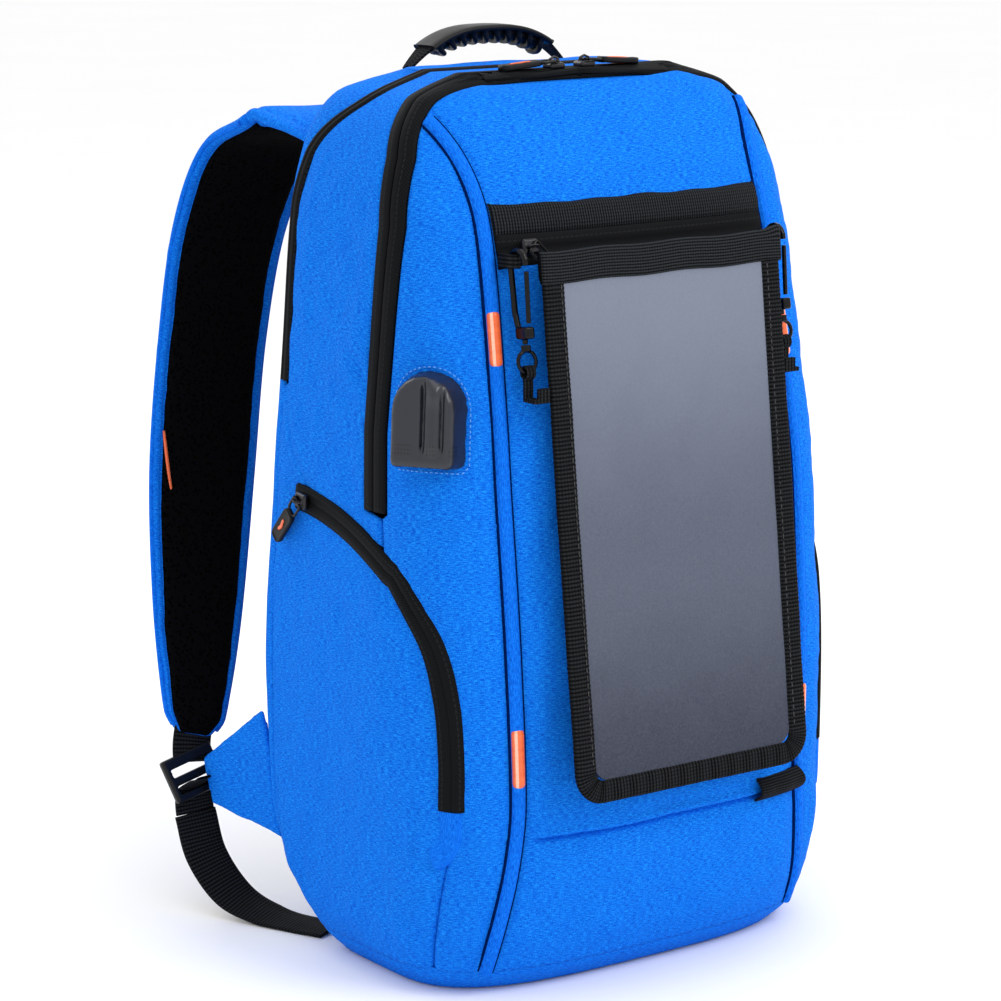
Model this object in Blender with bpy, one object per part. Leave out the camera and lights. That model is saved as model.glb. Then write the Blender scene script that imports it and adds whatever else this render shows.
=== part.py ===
"""A solar backpack: a zipped fabric bag with a top cover that folds forward, a hanging solar panel on two
snap hooks, a moulded USB hood, a carry handle and two shoulder straps.

Metres. +X is the bag's left-to-right as seen from the front, the front faces -Y, +Z is up, and the origin is
the middle of the base.
"""

import math

import bmesh
import bpy
import numpy as np
from mathutils import Matrix, Vector

# Driving dimensions
HEIGHT = 0.480
WALL = 0.003
GAP = 0.0003
RING_POINTS = 44
FRONT_SHARPNESS = 3.2
REAR_SHARPNESS = 9.0
# The bag's plan at each height: height, half width, depth in front of and behind the origin's plane
STATIONS = (
    (0.000, 0.122, 0.066, 0.056),
    (0.012, 0.131, 0.078, 0.068),
    (0.045, 0.137, 0.089, 0.100),
    (0.080, 0.139, 0.093, 0.112),
    (0.150, 0.139, 0.095, 0.115),
    (0.250, 0.136, 0.090, 0.107),
    (0.340, 0.131, 0.077, 0.100),
    (0.410, 0.126, 0.060, 0.096),
    (0.445, 0.117, 0.044, 0.092),
    (0.468, 0.101, 0.026, 0.083),
    (0.480, 0.068, 0.006, 0.062),
)

# Lines on the bag's side, as (height, depth)
MAIN_ZIP = ((0.257, -0.015), (0.300, -0.013), (0.355, -0.016), (0.407, -0.019), (0.441, -0.015), (0.476, -0.003))
LAPTOP_ZIP = (
    (0.030, 0.088),
    (0.100, 0.092),
    (0.250, 0.086),
    (0.314, 0.080),
    (0.413, 0.075),
    (0.442, 0.068),
    (0.460, 0.048),
    (0.470, 0.030),
)
FRONT_SEAM = (
    (0.000, -0.042),
    (0.039, -0.054),
    (0.090, -0.066),
    (0.135, -0.066),
    (0.166, -0.064),
    (0.196, -0.056),
    (0.223, -0.037),
    (0.236, -0.018),
    (0.257, -0.015),
)
MAIN_ZIP_HALF = 0.009
LAPTOP_ZIP_HALF = 0.0045
ZIP_RECESS = 0.0008
ZIP_THICKNESS = 0.0020
MAIN_ZIP_END = 0.257
LAPTOP_ZIP_END = 0.314
BACK_PANEL_END = 0.030
BOTTOM_RIM = 0.010

# The cover folds about a line across the bag, inside this height range
FOLD_LOW = 0.343
FOLD_TOP = 0.383
FOLD_MIDDLE = (FOLD_LOW + FOLD_TOP) / 2

# Front band, pocket zip and piping
BAND_HALF = 0.0870
BAND_HEIGHTS = (0.4030, 0.4180)
POCKET_ZIP_HEIGHTS = (0.3865, 0.4025)
PIPING_RADIUS = 0.0019
# The left piping's line on the bag, as (across, height); the right one mirrors it
PIPING = (
    (-0.1040, 0.4600),
    (-0.0940, 0.4400),
    (-0.0910, 0.4130),
    (-0.0940, 0.3500),
    (-0.0970, 0.2700),
    (-0.0960, 0.1710),
    (-0.0940, 0.1000),
    (-0.0980, 0.0660),
    (-0.1030, 0.0310),
    (-0.1030, 0.0130),
)

# Solar panel: hangs from its top edge, leaning out towards the bottom
PANEL_WIDTH = 0.154
PANEL_LENGTH = 0.286
PANEL_TOP = (0.0, -0.083, 0.395)
PANEL_LEAN = math.radians(6.0)
PANEL_SIDE_BINDING = 0.011
PANEL_TOP_BINDING = 0.014
PANEL_CORNER = 0.017
BINDING_THICKNESS = 0.0040
LAMINATE_THICKNESS = 0.0016
BACKING_THICKNESS = 0.0014

# Snap hooks, one at each side of the panel
HOOK_ACROSS = 0.0845
HOOK_DEPTH = -0.0735
TAB_SEAM = (-0.0660, 0.4030)  # y and z of the line that both webbing tabs are sewn along
HOOK_LEAN = math.radians(8.5)
HOOK_PIVOT_HEIGHT = 0.391
HOOK_BOW_RADIUS = 0.0066
HOOK_WIRE = 0.0018
HOOK_BASE_HEIGHT = 0.3530
TAB_HALF_LENGTH = 0.0046
TAB_HEIGHT = 0.0070
TAB_THICKNESS = 0.0018
EYE_CENTRE_HEIGHT = 0.3400
EYE_RADIUS = 0.0056
EYE_WIRE = 0.0011
TAB_LOOP_RADIUS = 0.0038
NECK_LENGTH = 0.0042
NECK_RADIUS = 0.0016
GATE_RADIUS = 0.0014

# Top handle
HANDLE_DEPTH = 0.076
HANDLE_HALF_SPAN = 0.053
HANDLE_PIVOT_HEIGHT = 0.4780
HANDLE_RISE = 0.0210
HANDLE_WIDTH = 0.0200
HANDLE_FOOT_WIDTH = 0.0060
HANDLE_GRIP_SPAN = 0.037

# Shoulder straps: the left strap's centre line and its width at each point
STRAP = (
    ((-0.0780, 0.1440, 0.4470), 0.086),
    ((-0.0850, 0.1760, 0.4300), 0.080),
    ((-0.0940, 0.1970, 0.3850), 0.074),
    ((-0.1010, 0.2080, 0.3200), 0.070),
    ((-0.1100, 0.2080, 0.2450), 0.068),
    ((-0.1220, 0.1960, 0.1750), 0.058),
    ((-0.1370, 0.1760, 0.1220), 0.042),
    ((-0.1445, 0.1655, 0.0990), 0.030),
)
STRAP_THICKNESS = 0.012
YOKE_START = (-0.0640, 0.0920, 0.4420)
YOKE_START_WIDTH = 0.098
WEBBING_WIDTH = 0.025
WEBBING_THICKNESS = 0.0016
LOCK_CENTRE = (-0.1490, 0.1600, 0.0790)

# Zip sliders
SLIDER_LENGTH = 0.010
SLIDER_WIDTH = 0.0085
SLIDER_BODY = 0.0036
PULL_LENGTH = 0.026
PULL_WIDTH = 0.0095
PULL_THICKNESS = 0.0034
MAIN_SLIDER_ACROSS = 0.010
POCKET_SLIDER_ACROSS = 0.0710
POCKET_SLIDER_LIFT = 0.0036
SIDE_SLIDER_LIFT = 0.0027
SIDE_ZIP_CENTRE = (0.0700, 0.0600)
SIDE_ZIP_RADIUS = 0.1950
SIDE_ZIP_START = math.radians(93.0)
SIDE_ZIP_TURN = math.radians(123.0)
SIDE_ZIP_CORNER = ((-0.0560, 0.1960), (-0.0640, 0.1660), (-0.0660, 0.1350), (-0.0655, 0.1060))
SIDE_ZIP_HALF = 0.0070

# USB hood on the bag's left front
HOOD_CENTRE_ACROSS = 0.1235
HOOD_CENTRE_HEIGHT = 0.3120
HOOD_WIDTH = 0.040
HOOD_HEIGHT = 0.052
HOOD_RISE = 0.0130

LOOP_HEIGHT = 0.0920
LOOP_ACROSS = 0.0735
LOOP_LENGTH = 0.034


# ---------------------------------------------------------------------------------------------- basics

MATERIALS = {
    "blue_fabric": ((0.010, 0.150, 0.900), 0.85, 0.0),
    "black_fabric": ((0.012, 0.012, 0.014), 0.90, 0.0),
    "black_mesh": ((0.010, 0.010, 0.011), 0.95, 0.0),
    "black_webbing": ((0.014, 0.014, 0.015), 0.85, 0.0),
    "zip_tape": ((0.011, 0.011, 0.012), 0.70, 0.0),
    "blue_piping": ((0.012, 0.170, 0.920), 0.70, 0.0),
    "panel_film": ((0.130, 0.140, 0.190), 0.35, 0.0),
    "black_rubber": ((0.015, 0.015, 0.017), 0.60, 0.0),
    "black_plastic": ((0.014, 0.014, 0.016), 0.45, 0.0),
    "black_metal": ((0.030, 0.030, 0.034), 0.35, 0.8),
    "white_board": ((0.700, 0.700, 0.690), 0.60, 0.0),
    "socket_steel": ((0.560, 0.560, 0.570), 0.30, 1.0),
}


def clear_scene():
    for obj in list(bpy.data.objects):
        bpy.data.objects.remove(obj)


def material(name):
    found = bpy.data.materials.get(name)
    if found:
        return found
    colour, roughness, metallic = MATERIALS[name]
    made = bpy.data.materials.new(name)
    made.use_nodes = True
    shader = made.node_tree.nodes["Principled BSDF"]
    shader.inputs["Base Color"].default_value = (*colour, 1.0)
    shader.inputs["Roughness"].default_value = roughness
    shader.inputs["Metallic"].default_value = metallic
    return made


def add_object(name, points, faces, finish=None, origin=(0, 0, 0)):
    """A mesh object whose points are given in the bag's frame and whose own origin is at origin."""
    mesh = bpy.data.meshes.new(name)
    shift = Vector(origin)
    mesh.from_pydata([Vector(p) - shift for p in points], [], faces)
    mesh.validate()
    obj = bpy.data.objects.new(name, mesh)
    obj.location = shift
    bpy.context.scene.collection.objects.link(obj)
    work = bmesh.new()
    work.from_mesh(mesh)
    bmesh.ops.recalc_face_normals(work, faces=work.faces)
    work.to_mesh(mesh)
    work.free()
    if finish:
        mesh.materials.append(material(finish))
        mesh.shade_smooth()
        mesh.set_sharp_from_angle(angle=math.radians(35))
    return obj


def guide(obj):
    obj.hide_render = True
    obj.display_type = "WIRE"
    return obj


def evaluated_mesh(obj):
    bpy.context.view_layer.update()
    graph = bpy.context.evaluated_depsgraph_get()
    return bpy.data.meshes.new_from_object(obj.evaluated_get(graph))


def apply_modifiers(obj):
    mesh = evaluated_mesh(obj)
    obj.modifiers.clear()
    obj.data = mesh
    return obj


def combine(obj, tool, operation, keep_tool=False):
    """Applies one Boolean of obj with tool, and removes the tool unless it is kept."""
    modifier = obj.modifiers.new(operation.lower(), "BOOLEAN")
    modifier.operation = operation
    modifier.object = tool
    modifier.solver = "EXACT"
    apply_modifiers(obj)
    if not keep_tool:
        bpy.data.objects.remove(tool)
    return obj


def soften(obj, width, segments=2):
    """Bevels the sharp edges of a finished piece."""
    modifier = obj.modifiers.new("soft_edges", "BEVEL")
    modifier.width = width
    modifier.segments = segments
    modifier.limit_method = "ANGLE"
    modifier.angle_limit = math.radians(40)
    return apply_modifiers(obj)


def follow_line(line, value):
    """Reads a line given as (height, depth) points at one height."""
    heights, depths = zip(*line)
    return float(np.interp(value, heights, depths))


def smooth_path(points, count):
    """A Catmull-Rom curve through points, resampled to count points of even spacing."""
    knots = [np.array(p, float) for p in points]
    knots = [2 * knots[0] - knots[1], *knots, 2 * knots[-1] - knots[-2]]
    dense = []
    for a, b, c, d in zip(knots, knots[1:], knots[2:], knots[3:]):
        for t in np.linspace(0, 1, 16, endpoint=False):
            dense.append(0.5 * (2 * b + (c - a) * t + (2 * a - 5 * b + 4 * c - d) * t**2 + (3 * b - a - 3 * c + d) * t**3))
    dense = np.array([*dense, knots[-2]])
    along = np.concatenate([[0], np.cumsum(np.linalg.norm(np.diff(dense, axis=0), axis=1))])
    places = np.linspace(0, along[-1], count)
    return [tuple(np.interp(s, along, dense[:, k]) for k in range(dense.shape[1])) for s in places]


# ---------------------------------------------------------------------------------- the bag's own shape


def cubic_slopes(heights, values):
    steps = np.diff(values) / np.diff(heights)
    slopes = np.zeros(len(values))
    slopes[0], slopes[-1] = steps[0], steps[-1]
    for i in range(1, len(values) - 1):
        before, after = steps[i - 1], steps[i]
        slopes[i] = 2 * before * after / (before + after) if before * after > 0 else 0.0
    return slopes


HEIGHTS, *SIZES = np.array(STATIONS).T
SLOPES = [cubic_slopes(HEIGHTS, sizes) for sizes in SIZES]


def station(z):
    """Half width, front depth and rear depth at height z, by a monotone cubic through STATIONS."""
    z = min(max(z, 0.0), HEIGHT)
    i = min(int(np.searchsorted(HEIGHTS, z, side="right")) - 1, len(HEIGHTS) - 2)
    span = HEIGHTS[i + 1] - HEIGHTS[i]
    t = (z - HEIGHTS[i]) / span
    found = []
    for sizes, slopes in zip(SIZES, SLOPES):
        start = (1 + 2 * t) * (1 - t) ** 2 * sizes[i] + t * (1 - t) ** 2 * span * slopes[i]
        end = t**2 * (3 - 2 * t) * sizes[i + 1] + t**2 * (t - 1) * span * slopes[i + 1]
        found.append(float(start + end))
    return found


def bag_ring(z, inset):
    half, front, rear = station(z)
    points = []
    for k in range(RING_POINTS):
        angle = 2 * math.pi * k / RING_POINTS
        c, s = math.cos(angle), math.sin(angle)
        sharpness = FRONT_SHARPNESS if s < 0 else REAR_SHARPNESS
        depth = front if s < 0 else rear
        x = (half - inset) * math.copysign(abs(c) ** (2 / sharpness), c)
        y = (depth - inset) * math.copysign(abs(s) ** (2 / sharpness), s)
        points.append((x, y))
    return points


def bag_solid(inset):
    """The bag's whole outer form, drawn in by inset on every side, as one closed guide."""
    shares = (0, 0.012, 0.03, 0.06, 0.095, 0.15, 0.22, 0.31, 0.42, 0.53, 0.63, 0.71, 0.78, 0.84, 0.885, 0.92, 0.95, 0.972, 0.988, 1)
    points, faces = [], []
    for share in shares:
        z = share * HEIGHT
        shifted = inset + share * (HEIGHT - 2 * inset)
        points += [(x, y, shifted) for x, y in bag_ring(z, inset)]
    for row in range(len(shares) - 1):
        for k in range(RING_POINTS):
            after = (k + 1) % RING_POINTS
            low, high = row * RING_POINTS, (row + 1) * RING_POINTS
            faces.append((low + k, low + after, high + after, high + k))
    faces.append(tuple(reversed(range(RING_POINTS))))
    top = (len(shares) - 1) * RING_POINTS
    faces.append(tuple(range(top, top + RING_POINTS)))
    form = guide(add_object("bag_form", points, faces))
    work = bmesh.new()
    work.from_mesh(form.data)
    bmesh.ops.triangulate(work, faces=work.faces)
    work.to_mesh(form.data)
    work.free()
    return form


def bag_value(point):
    """Below 1 inside the bag's plan at that height, above 1 outside."""
    x, y, z = point
    half, front, rear = station(z)
    sharpness = FRONT_SHARPNESS if y < 0 else REAR_SHARPNESS
    depth = front if y < 0 else rear
    return (abs(x) / half) ** sharpness + (abs(y) / depth) ** sharpness


def bag_normal(point):
    """The outward normal of the bag's surface near point."""
    step = 1e-4
    slope = []
    for k in range(3):
        ahead, behind = list(point), list(point)
        ahead[k] += step
        behind[k] -= step
        slope.append(bag_value(ahead) - bag_value(behind))
    return Vector(slope).normalized()


def front_point(x, z, outset=0.0):
    """The point on the bag's front at x and z, moved out by outset."""
    half, front, _ = station(z)
    y = -front * (1 - (abs(x) / half) ** FRONT_SHARPNESS) ** (1 / FRONT_SHARPNESS)
    point = Vector((x, y, z))
    return point + bag_normal(point) * outset


def side_point(side, y, z, outset=0.0):
    """The point on the bag's side at y and z, moved out by outset. side is -1 for the left."""
    half, front, rear = station(z)
    sharpness = FRONT_SHARPNESS if y < 0 else REAR_SHARPNESS
    depth = front if y < 0 else rear
    x = side * half * (1 - (abs(y) / depth) ** sharpness) ** (1 / sharpness)
    point = Vector((x, y, z))
    return point + bag_normal(point) * outset


def prism(outline, low_x=-0.3, high_x=0.3):
    """A guide with a (depth, height) outline, drawn out along X."""
    count = len(outline)
    points = [(low_x, y, z) for y, z in outline] + [(high_x, y, z) for y, z in outline]
    faces = [tuple(range(count)), tuple(reversed(range(count, 2 * count)))]
    faces += [(k, (k + 1) % count, (k + 1) % count + count, k + count) for k in range(count)]
    return guide(add_object("cutter", points, faces))


def box_guide(low, high):
    points = [(x, y, z) for x in (low[0], high[0]) for y in (low[1], high[1]) for z in (low[2], high[2])]
    faces = [(0, 1, 3, 2), (4, 6, 7, 5), (0, 4, 5, 1), (2, 3, 7, 6), (0, 2, 6, 4), (1, 5, 7, 3)]
    return guide(add_object("cutter", points, faces))


def skin(name, outer_inset, inner_inset, cutters, finish):
    """The part of the bag's skin between two insets that lies inside every cutter."""
    obj = bag_solid(outer_inset)
    for cutter in cutters:
        combine(obj, cutter, "INTERSECT")
    combine(obj, bag_solid(inner_inset), "DIFFERENCE")
    obj.name = name
    obj.data.name = name
    obj.hide_render = False
    obj.display_type = "TEXTURED"
    obj.data.materials.clear()
    obj.data.materials.append(material(finish))
    obj.data.shade_smooth()
    obj.data.set_sharp_from_angle(angle=math.radians(35))
    return obj


def line_between(line, low, high, shift, count=9):
    """Points along a line from one height to another, moved back by shift."""
    return [(follow_line(line, z) + shift, z) for z in np.linspace(low, high, count)]


# ------------------------------------------------------------------------------------ the bag's panels

FAR = 0.3
ABOVE = 0.6


def make_lower_front():
    edge = [(follow_line(FRONT_SEAM, BOTTOM_RIM) - GAP, BOTTOM_RIM + GAP)]
    edge += [(follow_line(FRONT_SEAM, MAIN_ZIP_END) - GAP, MAIN_ZIP_END - GAP)]
    edge += line_between(MAIN_ZIP, MAIN_ZIP_END - GAP, FOLD_LOW, -MAIN_ZIP_HALF - GAP, 5)
    outline = [(-FAR, BOTTOM_RIM + GAP), *edge, (-FAR, FOLD_LOW)]
    return skin("lower_front", 0.0, WALL, [prism(outline)], "blue_fabric")


def make_cover_fold():
    edge = line_between(MAIN_ZIP, FOLD_LOW + GAP, FOLD_TOP - GAP, -GAP, 4)
    outline = [(-FAR, FOLD_LOW + GAP), *edge, (-FAR, FOLD_TOP - GAP)]
    return skin("cover_fold", 0.0, WALL, [prism(outline)], "blue_fabric")


def make_front_cover():
    edge = line_between(MAIN_ZIP, FOLD_TOP, 0.476, -MAIN_ZIP_HALF - GAP)
    outline = [(-FAR, FOLD_TOP), *edge, (edge[-1][0], ABOVE), (-FAR, ABOVE)]
    return skin("front_cover", 0.0, WALL, [prism(outline)], "blue_fabric")


def make_cover_zip_tape():
    front = line_between(MAIN_ZIP, FOLD_TOP, 0.476, -MAIN_ZIP_HALF)
    rear = line_between(MAIN_ZIP, FOLD_TOP, 0.476, -GAP)
    outline = [*rear, (rear[-1][0], ABOVE), (front[-1][0], ABOVE), *reversed(front)]
    return skin("cover_zip_tape", ZIP_RECESS, ZIP_RECESS + ZIP_THICKNESS, [prism(outline)], "zip_tape")


def make_main_zip_tape():
    lower = line_between(MAIN_ZIP, MAIN_ZIP_END, FOLD_LOW, -MAIN_ZIP_HALF, 5)
    upper = line_between(MAIN_ZIP, FOLD_LOW, 0.476, GAP)
    rear = line_between(MAIN_ZIP, MAIN_ZIP_END, 0.476, MAIN_ZIP_HALF, 14)
    outline = [*lower, *upper, (upper[-1][0], ABOVE), (rear[-1][0], ABOVE), *reversed(rear)]
    return skin("main_zip_tape", ZIP_RECESS, ZIP_RECESS + ZIP_THICKNESS, [prism(outline)], "zip_tape")


def make_rear_shell():
    front = [(follow_line(FRONT_SEAM, BOTTOM_RIM) + GAP, BOTTOM_RIM + GAP)]
    front += [(follow_line(FRONT_SEAM, MAIN_ZIP_END) + GAP, MAIN_ZIP_END - GAP)]
    front += line_between(MAIN_ZIP, MAIN_ZIP_END - GAP, 0.476, MAIN_ZIP_HALF + GAP, 14)
    low = line_between(LAPTOP_ZIP, BACK_PANEL_END - GAP, LAPTOP_ZIP_END - GAP, -GAP, 6)
    high = line_between(LAPTOP_ZIP, LAPTOP_ZIP_END - GAP, 0.470, -LAPTOP_ZIP_HALF - GAP)
    rear = [(FAR, BOTTOM_RIM + GAP), (FAR, BACK_PANEL_END - GAP), *low, *high, (high[-1][0], ABOVE)]
    outline = [*front, (front[-1][0], ABOVE), *reversed(rear)]
    return skin("rear_shell", 0.0, WALL, [prism(outline)], "blue_fabric")


def make_laptop_zip_tape():
    front = line_between(LAPTOP_ZIP, LAPTOP_ZIP_END, 0.470, -LAPTOP_ZIP_HALF)
    rear = line_between(LAPTOP_ZIP, LAPTOP_ZIP_END, 0.470, LAPTOP_ZIP_HALF)
    outline = [*front, (front[-1][0], ABOVE), (rear[-1][0], ABOVE), *reversed(rear)]
    return skin("laptop_zip_tape", ZIP_RECESS, ZIP_RECESS + ZIP_THICKNESS, [prism(outline)], "zip_tape")


def make_back_panel():
    low = line_between(LAPTOP_ZIP, BACK_PANEL_END, LAPTOP_ZIP_END - GAP, GAP, 6)
    high = line_between(LAPTOP_ZIP, LAPTOP_ZIP_END - GAP, 0.470, LAPTOP_ZIP_HALF + GAP)
    outline = [(FAR, BACK_PANEL_END), *low, *high, (high[-1][0], ABOVE), (FAR, ABOVE)]
    return skin("back_panel", 0.0, WALL, [prism(outline)], "black_mesh")


def make_bottom_panel():
    outline = [(-FAR, -FAR), (FAR, -FAR), (FAR, BOTTOM_RIM), (-FAR, BOTTOM_RIM)]
    return skin("bottom_panel", 0.0, WALL, [prism(outline)], "blue_fabric")


# ----------------------------------------------------------------------------- simple solids and sweeps


def block(name, low, high, finish, bevel=0.0, origin=(0, 0, 0)):
    points = [(x, y, z) for x in (low[0], high[0]) for y in (low[1], high[1]) for z in (low[2], high[2])]
    faces = [(0, 1, 3, 2), (4, 6, 7, 5), (0, 4, 5, 1), (2, 3, 7, 6), (0, 2, 6, 4), (1, 5, 7, 3)]
    obj = add_object(name, points, faces, finish, origin)
    return soften(obj, bevel) if bevel else obj


def sweep(name, sections, finish, origin=(0, 0, 0)):
    """One closed solid through a row of closed sections with the same number of points."""
    count = len(sections[0])
    points = [p for section in sections for p in section]
    faces = [tuple(range(count)), tuple(reversed(range(len(points) - count, len(points))))]
    for row in range(len(sections) - 1):
        low, high = row * count, (row + 1) * count
        faces += [(low + k, low + (k + 1) % count, high + (k + 1) % count, high + k) for k in range(count)]
    return add_object(name, points, faces, finish, origin)


def band_section(centre, side, normal, width, thickness, edge=0.35):
    """A flat section with its long edges chamfered by a share of the thickness."""
    cut = edge * thickness
    half, high = width / 2, thickness / 2
    outline = ((half, high - cut), (half - cut, high), (cut - half, high), (-half, high - cut))
    outline += tuple((-a, -b) for a, b in outline)
    return [centre + side * a + normal * b for a, b in outline]


def band(name, centres, sides, widths, thickness, finish, origin=(0, 0, 0)):
    """A flat strap through centres, whose width lies along sides."""
    centres = [Vector(c) for c in centres]
    sections = []
    for i, centre in enumerate(centres):
        tangent = (centres[min(i + 1, len(centres) - 1)] - centres[max(i - 1, 0)]).normalized()
        side = Vector(sides[i])
        side = (side - tangent * side.dot(tangent)).normalized()
        normal = tangent.cross(side)
        sections.append(band_section(centre, side, normal, widths[i], thickness))
    return sweep(name, sections, finish, origin)


def wire(name, path, radius, finish, origin=(0, 0, 0), cyclic=False, resolution=1):
    """A round wire along path, as a mesh."""
    curve = bpy.data.curves.new(name, "CURVE")
    curve.dimensions = "3D"
    curve.bevel_depth = radius
    curve.bevel_resolution = resolution
    curve.use_fill_caps = True
    spline = curve.splines.new("POLY")
    spline.points.add(len(path) - 1)
    for point, place in zip(spline.points, path):
        point.co = (*(Vector(place) - Vector(origin)), 1.0)
    spline.use_cyclic_u = cyclic
    holder = bpy.data.objects.new(name + "_guide", curve)
    bpy.context.scene.collection.objects.link(holder)
    mesh = evaluated_mesh(holder)
    bpy.data.objects.remove(holder)
    obj = bpy.data.objects.new(name, mesh)
    obj.location = origin
    bpy.context.scene.collection.objects.link(obj)
    mesh.materials.clear()
    mesh.materials.append(material(finish))
    mesh.shade_smooth()
    mesh.set_sharp_from_angle(angle=math.radians(50))
    return obj


def join_solids(obj, *others):
    for other in others:
        combine(obj, other, "UNION")
    obj.data.set_sharp_from_angle(angle=math.radians(40))
    return obj


def mirrored(point, side):
    """A point given for the bag's left, on the side asked for: -1 is left, 1 is right."""
    return (point[0] * -side, point[1], point[2])


def arc(centre, radius, start, end, count):
    """Points on an arc in a plane, with angles in radians."""
    angles = np.linspace(start, end, count)
    return [(centre[0] + radius * math.cos(a), centre[1] + radius * math.sin(a)) for a in angles]


# -------------------------------------------------------------------------------- trim on the bag's front


def side_name(side):
    return "left" if side < 0 else "right"


def make_front_band():
    def patch(name, heights, thickness, finish):
        cutter = box_guide((-BAND_HALF, -FAR, heights[0]), (BAND_HALF, 0, heights[1]))
        return skin(name, -GAP - thickness, -GAP, [cutter], finish)

    patch("pocket_band", BAND_HEIGHTS, 0.0022, "black_webbing")
    patch("pocket_zip_tape", POCKET_ZIP_HEIGHTS, 0.0014, "zip_tape")


def piping_run(side, low, high, radius):
    """Points of the piping's centre line between two heights."""
    run = [p for p in smooth_path(PIPING, 90) if low <= p[1] <= high]
    count = max(8, round((high - low) / 0.018))
    picked = [run[round(k * (len(run) - 1) / (count - 1))] for k in range(count)]
    return [front_point(x * -side, z, radius + 3 * GAP) for x, z in picked]


def make_piping(side):
    name = side_name(side)
    wire(f"piping_{name}_upper", piping_run(side, FOLD_TOP, 0.46, PIPING_RADIUS), PIPING_RADIUS, "blue_piping")
    wire(f"piping_{name}_lower", piping_run(side, 0.013, FOLD_LOW, PIPING_RADIUS), PIPING_RADIUS, "blue_piping")


def make_light_loop():
    """A folded webbing loop at the right end of the front seam, open from end to end."""
    outline = []
    for outset in (0.0006, 0.0022):
        row = []
        for share in np.linspace(0, 1, 7):
            lift = 0.0085 * math.sin(math.pi * share) ** 0.7
            row.append((LOOP_HEIGHT + 0.0065 - 0.013 * share, lift + outset))
        outline.append(row)
    inner, outer = outline
    sections = []
    for share in np.linspace(0, 1, 7):
        x = LOOP_ACROSS - LOOP_LENGTH / 2 + LOOP_LENGTH * share
        section = [front_point(x, z, lift) for z, lift in inner] + [front_point(x, z, lift) for z, lift in reversed(outer)]
        sections.append(section)
    return sweep("light_loop", sections, "black_webbing")


# ------------------------------------------------------------------------------------------- side pockets


def side_zip_line():
    """The pocket zip's line on the bag's side, from its rear end forwards and down, as (depth, height)."""
    centre, radius = SIDE_ZIP_CENTRE, SIDE_ZIP_RADIUS
    round_part = arc(centre, radius, SIDE_ZIP_START, SIDE_ZIP_TURN, 5)
    return smooth_path([*round_part, *SIDE_ZIP_CORNER], 20)


def offset_line(line, distance):
    """A plane line moved sideways by distance."""
    moved = []
    for i, (y, z) in enumerate(line):
        before, after = line[max(i - 1, 0)], line[min(i + 1, len(line) - 1)]
        tangent = Vector((after[0] - before[0], after[1] - before[1])).normalized()
        moved.append((y - tangent.y * distance, z + tangent.x * distance))
    return moved


def make_side_zip(side):
    line = side_zip_line()
    outline = offset_line(line, SIDE_ZIP_HALF) + list(reversed(offset_line(line, -SIDE_ZIP_HALF)))
    low, high = (-FAR, -0.03) if side < 0 else (0.03, FAR)
    return skin(f"side_zip_tape_{side_name(side)}", -GAP - 0.0012, -GAP, [prism(outline, low, high)], "zip_tape")


# ------------------------------------------------------------------------------------ sliders and pulls


def slider_frame(place, along, outward):
    """A matrix whose X is the zip's direction, Z the outward normal, and origin the slider's foot."""
    x = Vector(along).normalized()
    z = Vector(outward)
    z = (z - x * z.dot(x)).normalized()
    y = z.cross(x)
    matrix = Matrix((x, y, z)).transposed().to_4x4()
    matrix.translation = place
    return matrix


def settle(obj, matrix):
    """Moves a piece drawn at the origin to its place."""
    obj.matrix_world = matrix
    return obj


BRIDGE_HEIGHT = SLIDER_BODY + 0.0024
BRIDGE_WIRE = 0.0008
PULL_WIRE = 0.00065


def make_slider(name, matrix):
    half = SLIDER_LENGTH / 2
    body = block(name, (-half, -SLIDER_WIDTH / 2, 0), (half, SLIDER_WIDTH / 2, SLIDER_BODY), "black_metal")
    soften(body, 0.0010, 1)
    bridge = [(x * 0.0036, 0, SLIDER_BODY - 0.0006 + 0.0036 * h) for x, h in ((-1, 0), (-0.75, 0.7), (0, 1), (0.75, 0.7), (1, 0))]
    join_solids(body, wire("bridge", bridge, BRIDGE_WIRE, "black_metal"))
    return settle(body, matrix)


def make_pull(name, matrix, tilt=0.0):
    """A rubber tab on a wire loop whose bar runs through the slider's bridge. Its origin is on that bar."""
    arm = 0.0036
    loop = [(0, -arm, 0), (0.0080, -arm, 0), (0.0100, -0.0024, 0), (0.0108, 0, 0), (0.0100, 0.0024, 0), (0.0080, arm, 0), (0, arm, 0)]
    ring = wire("ring", loop, PULL_WIRE, "black_rubber", cyclic=True)
    start = 0.0095
    half, radius = PULL_WIDTH / 2, PULL_WIDTH / 2
    centre_low, centre_high = start + radius, start + PULL_LENGTH - radius
    outline = arc((centre_high, 0), radius, -math.pi / 2, math.pi / 2, 7)
    outline += arc((centre_low, 0), radius * 0.96, math.pi / 2, 3 * math.pi / 2, 7)
    points = [(x, y, -PULL_THICKNESS / 2) for x, y in outline] + [(x, y, PULL_THICKNESS / 2) for x, y in outline]
    count = len(outline)
    faces = [tuple(range(count)), tuple(range(count, 2 * count))]
    faces += [(k, (k + 1) % count, (k + 1) % count + count, k + count) for k in range(count)]
    tab = add_object(name, points, faces, "black_rubber")
    soften(tab, 0.0007, 1)
    join_solids(tab, ring)
    bar = matrix @ Matrix.Translation((0, 0, SLIDER_BODY + 0.0010)) @ Matrix.Rotation(-tilt, 4, "Y")
    return settle(tab, bar)


def make_main_sliders():
    for side in (-1, 1):
        place = Vector((side * MAIN_SLIDER_ACROSS, follow_line(MAIN_ZIP, HEIGHT), HEIGHT + 0.0006))
        matrix = slider_frame(place, (side, 0, 0), (0, 0, 1))
        make_slider(f"main_slider_{side_name(side)}", matrix)
        make_pull(f"main_pull_{side_name(side)}", matrix, math.radians(-4))


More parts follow.
